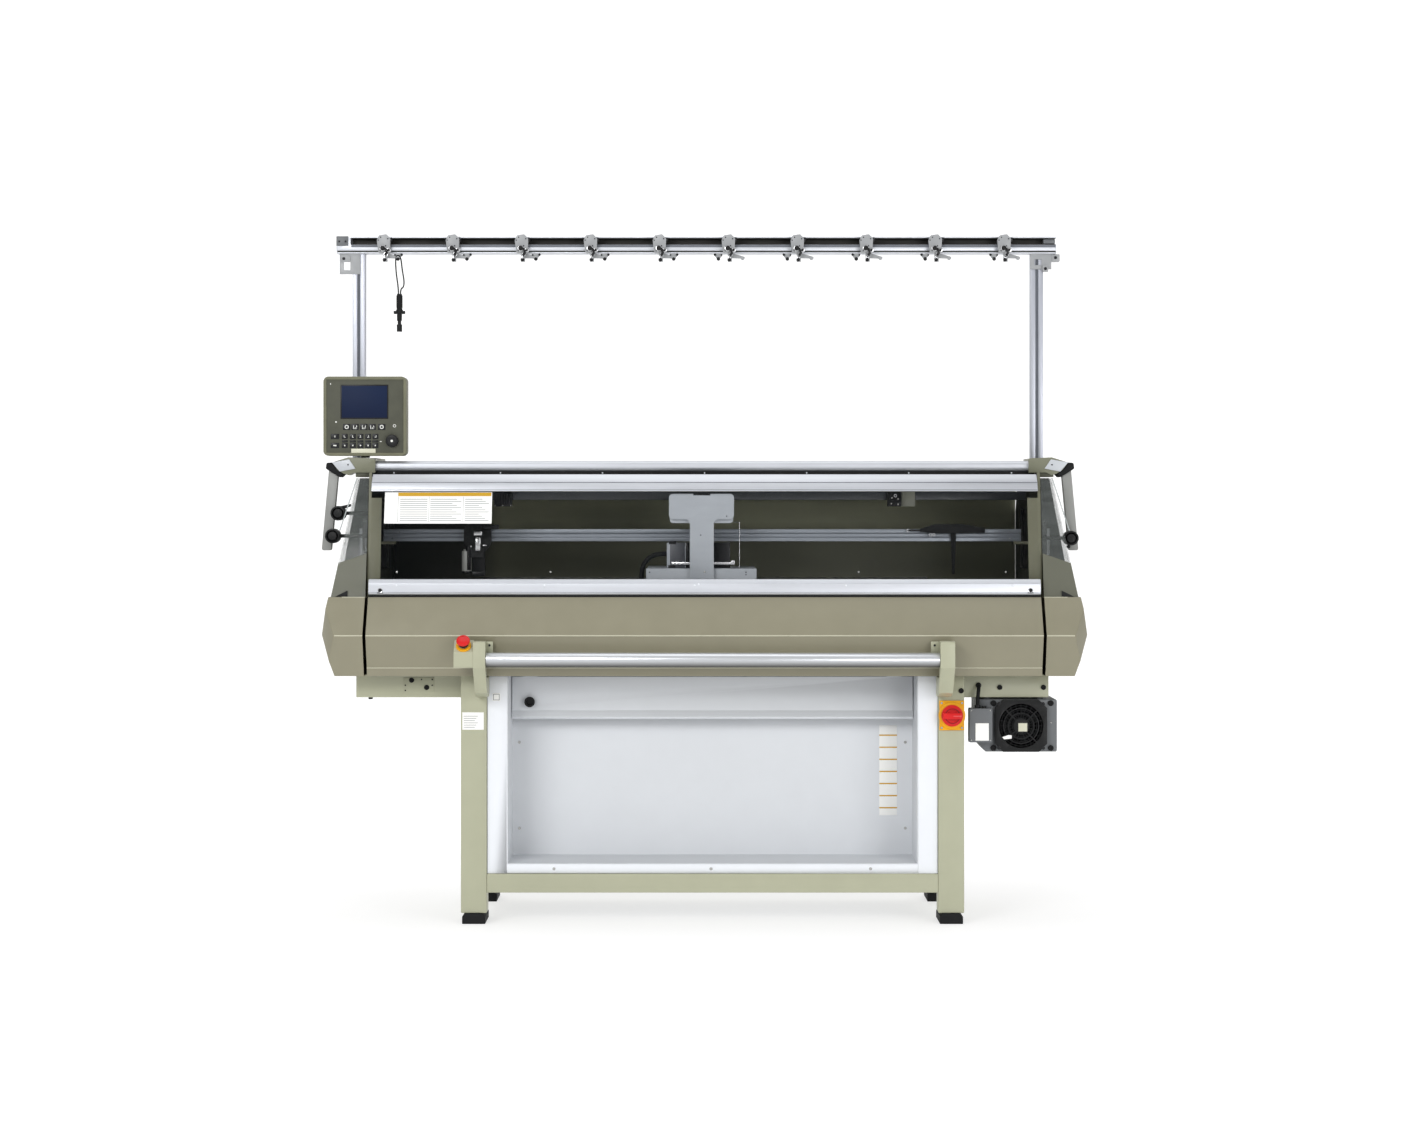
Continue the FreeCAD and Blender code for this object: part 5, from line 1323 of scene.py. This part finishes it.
# %% Guard wires, bushes and plates
guard_low, guard_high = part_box("fan_guard")
fan_mid = (guard_low + guard_high) / 2
wires = bmesh.new()
for i in range(6):
    radius = 0.0235 + 0.0062 * i
    ring(wires, (fan_mid.x, guard_low.y + 0.0016, fan_mid.z), "y", radius, radius + 0.0009, 0.0, 0.0012, 48)
for i in range(24):
    turn = Matrix.Translation((fan_mid.x, guard_low.y + 0.0026, fan_mid.z))
    turn = turn @ Matrix.Rotation(i * math.tau / 24, 4, "Y")
    rib = Matrix.LocRotScale(AXES["x"] * 0.0395, None, Vector((0.039, 0.0012, 0.0009)))
    bmesh.ops.create_cube(wires, size=1.0, matrix=turn @ rib)
for a in (-0.06, 0.06):
    for b in (-0.06, 0.06):
        disc(wires, (fan_mid.x + a, guard_low.y + 0.0006, fan_mid.z + b), "y", 0.0048, 0.0030, 20, 0.0006)
piece("guard_wires", wires, "frame", SATIN_BLACK)
blocks("hub_plate", "frame", PALE_PLATE,
       ((fan_mid.x - 0.0075, guard_low.y - 0.0004, fan_mid.z - 0.0150),
        (fan_mid.x + 0.0165, guard_low.y + 0.0004, fan_mid.z + 0.0075), 0.0002))
connector = bmesh.new()
outline(connector, [(-0.052, -0.030), (-0.047, -0.036), (-0.026, -0.034), (-0.026, -0.025), (-0.035, -0.024)],
        "xz", -0.006, 0.0, 0.0008)
bmesh.ops.translate(connector, verts=connector.verts, vec=(fan_mid.x, guard_low.y, fan_mid.z))
piece("fan_connector", connector, "frame", CARD)

fan_low, fan_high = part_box("fan_box")
left_leg, right_leg = corner("left_stand_frame"), corner("right_stand_frame")
bushes = bmesh.new()
for x in (fan_low.x + 0.043, fan_high.x - 0.017):
    for z in (fan_low.z + 0.010, fan_high.z - 0.015):
        lathe(bushes, (x, fan_low.y, z), FRONT, [
            (0.0, 0.0), (0.0078, 0.0), (0.0078, 0.0040), (0.0066, 0.0052), (0.0038, 0.0052), (0.0034, 0.0035),
            (0.0, 0.0035)], 28)
for spot in (right_leg(0.172, 0.06, 0.6055), right_leg(0.291, 0.06, 0.6055), right_leg(0.0616, 0, 0.6004),
             left_leg(0.151, 0.06, 0.625), left_leg(0.192, 0.06, 0.605)):
    lathe(bushes, spot, FRONT, [
        (0.0, -0.0002), (0.0070, -0.0002), (0.0070, 0.0030), (0.0058, 0.0040), (0.0034, 0.0040),
        (0.0030, 0.0026), (0.0, 0.0026)], 28)
disc(bushes, left_leg(0.037, 0.08, 0.575), "z", 0.0060, 0.0060, 24, 0.0010)
piece("rubber_bushes", bushes, "frame", RUBBER)
blocks("arm_plate", "frame", KHAKI,
       (left_leg(0.129, 0.0588, 0.592), left_leg(0.212, 0.0602, 0.6325), 0.0005))
fasteners("arm_plate_screws", "frame", [left_leg(x, 0.0588, z) for x, z in (
    (0.134, 0.611), (0.134, 0.597), (0.207, 0.627), (0.207, 0.611), (0.178, 0.627))],
          FRONT, 0.0022, BLACK_OXIDE, 0.001)
junction = corner("junction_box")
blocks("junction_plate", "frame", CARD,
       (junction(0.017, -0.0005, 0.005), junction(0.053, 0.0003, 0.052), 0.0002))
lid = bmesh.new()
block(lid, junction(0.0005, 0.0280, -0.0006), junction(0.0625, 0.0292, 0.0926), 0.0002)
disc(lid, junction(0.024, 0.016, 0.096), "z", 0.0082, 0.0080, 24, 0.0010)
disc(lid, junction(0.042, 0.016, 0.095), "z", 0.0065, 0.0060, 24, 0.0010)
disc(lid, junction(0.029, 0.0395, 0.152), "y", 0.0078, 0.0050, 24, 0.0010)
piece("cable_glands", lid, "frame", SATIN_BLACK)
fasteners("fan_screws", "frame", [(fan_mid.x + 0.083, fan_low.y, fan_mid.z + 0.008)]
          + [junction(x, 0, z) for x in (0.006, 0.057) for z in (0.006, 0.086)], FRONT, 0.0022, STEEL, 0.001)

# %% [markdown]
# ## Fabric chamber and stand
# The chamber's white sheets are screwed to the sill and the back. Plain ruled plates mark the places where
# an owner would fix an inventory label. They are thin blocks, a fraction of a millimetre proud of the
# sheet.

# %% Chamber screws, grommet and plates
tray_low, tray_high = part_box("chamber_tray")
sill = corner("chamber_surround")
fasteners("chamber_screws", "frame",
          [(x, tray_high.y - 0.002, tray_low.z + z) for x in (tray_low.x + 0.021, tray_high.x - 0.021)
           for z in (0.313, 0.075)]
          + [sill(x, 0, 0.0125) for x in (0.18, 0.6043, 1.0354)], FRONT, 0.0042, STEEL, 0.002)
deflector_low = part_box("deflector_panel")[0]
grommet = bmesh.new()
lathe(grommet, (deflector_low.x + 0.049, deflector_low.y + 0.0175, deflector_low.z + 0.047), "y", [
    (0.0, -0.004), (0.0118, -0.004), (0.0118, -0.0185), (0.0145, -0.0185), (0.0145, -0.0198),
    (0.0108, -0.0198), (0.0108, -0.0045), (0.0, -0.0045)], 40)
piece("deflector_grommet", grommet, "frame", SATIN_BLACK)
labels, label_rules = bmesh.new(), bmesh.new()
label_x, label_low = tray_high.x - 0.093, tray_low.z + 0.111
label_wide, band_pitch = 0.049, 0.0335
block(labels, left_leg(0.294, -0.0006, 0.495), left_leg(0.352, 0.0001, 0.542), 0.0002)
block(labels, (label_x, tray_high.y - 0.0028, label_low),
      (label_x + label_wide, tray_high.y - 0.0018, label_low + 0.249), 0.0002)
block(labels, sill(0.014, -0.0008, 0.466), sill(0.035, 0.0002, 0.487), 0.0002)
piece("blank_plates", labels, "frame", CARD)
for low, high in (((0.016, 0.468), (0.033, 0.4695)), ((0.016, 0.4835), (0.033, 0.485)),
                  ((0.016, 0.468), (0.0175, 0.485)), ((0.0315, 0.468), (0.033, 0.485))):
    block(label_rules, sill(low[0], -0.0012, low[1]), sill(high[0], -0.0006, high[1]))
for i in range(6):
    line = 0.501 + 0.006 * i
    block(label_rules, left_leg(0.298, -0.0010, line),
          left_leg(0.328 + 0.004 * (i % 3), -0.0005, line + 0.0012))
piece("plate_rules", label_rules, "frame", RULE)
amber = bmesh.new()
for i in range(7):
    line = label_low + 0.019 + band_pitch * i
    block(amber, (label_x, tray_high.y - 0.0032, line),
          (label_x + label_wide, tray_high.y - 0.0026, line + 0.0035))
piece("plate_bands", amber, "frame", AMBER)

# %% [markdown]
# ## Back of the machine
# The rear cover is three sheets held by screws, and the cabinet's door has two catches. The seams could be
# cut into the cover, but a thin dark strip in the surface reads the same and leaves the frame's part whole.

# %% Rear seams, catches and screws
cabinet_high, rear_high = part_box("control_cabinet")[1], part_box("rear_cover")[1]
catches = bmesh.new()
for x in (-0.45, 0.42):
    block(catches, (x, cabinet_high.y - 0.001, cabinet_high.z - 0.250),
          (x + 0.022, cabinet_high.y + 0.010, cabinet_high.z - 0.200), 0.003)
piece("cabinet_catches", catches, "frame", SATIN_BLACK)
fasteners("rear_screws", "frame",
          [(x, rear_high.y - 0.0023, rear_high.z + z) for x in (-0.86, -0.57, -0.28, 0.0, 0.28, 0.57, 0.86)
           for z in (-0.512, -0.242)], (0, 1, 0), 0.0042, STEEL)
seams = bmesh.new()
for x in (-0.302, 0.302):
    block(seams, (x - 0.0008, rear_high.y - 0.001, rear_high.z - 0.548),
          (x + 0.0008, rear_high.y + 0.0001, rear_high.z - 0.232))
piece("rear_seams", seams, "frame", SATIN_BLACK)

# %% [markdown]
# ## Cords
# Three cords show: the carriage's supply cable, the fan's lead and the lanyard of the needle tool. Each is
# a smooth curve through the route that its solid takes. A curve with a round bevel stays smooth without a
# dense mesh, and its ends are filled. The tool's rubber grip hangs on the lanyard's end.

# %% Cords


def cord(name, node, route, diameter, finish):
    """A round cord along a route. The curve cuts the route's corners, so it is a little shorter than them."""
    curve = bpy.data.curves.new(name, "CURVE")
    curve.dimensions = "3D"
    curve.bevel_depth = diameter / 2
    curve.bevel_resolution = 5
    curve.resolution_u = 16
    curve.use_fill_caps = True
    spline = curve.splines.new("NURBS")
    spline.points.add(len(route) - 1)
    for point, spot in zip(spline.points, route):
        point.co = (*spot, 1.0)
    spline.order_u = 3
    spline.use_endpoint_u = True
    curve.materials.append(finish)
    made = bpy.data.objects.new(name, curve)
    scene.collection.objects.link(made)
    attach(made, body_of_node[node])
    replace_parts(made, node)


tool_low, tool_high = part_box("hook_tool")
tool_mid = (tool_low + tool_high) / 2
grip = bmesh.new()
lathe(grip, (tool_mid.x, tool_mid.y, tool_low.z + 0.0002), "z", [
    (0.0, 0.0300), (0.0070, 0.0305), (0.0072, 0.0500), (0.0098, 0.0520), (0.0098, 0.0600), (0.0078, 0.0630),
    (0.0088, 0.0680), (0.0088, 0.1000), (0.0070, 0.1040), (0.0, 0.1045)], 24)
piece("tool_grip", grip, "frame", RUBBER)
cord("carriage_lead", "carriage_cable", [
    (-0.104, -0.065, 0.996), (-0.1336, -0.065, 0.996), (-0.1592, -0.065, 0.9812), (-0.174, -0.065, 0.9556),
    (-0.174, -0.065, 0.926)], 0.013, RUBBER)
cord("fan_lead", "fan_cable", [
    (0.745, -0.170, 0.640), (0.745, -0.187, 0.640), (0.742, -0.196, 0.622), (0.740, -0.196, 0.600),
    (0.740, -0.196, 0.580)], 0.010, RUBBER)
cord("tool_lanyard", "lanyard_cord", [
    (-0.862, 0.093, 1.724), (-0.862, 0.093, 1.741), (-0.869, 0.093, 1.786), (-0.8703, 0.093, 1.8323),
    (-0.8557, 0.093, 1.8323), (-0.851, 0.093, 1.790), (-0.8455, 0.093, 1.760), (-0.8475, 0.093, 1.743),
    (-0.856, 0.093, 1.738), (-0.856, 0.093, 1.724)], 0.004, BLACK)
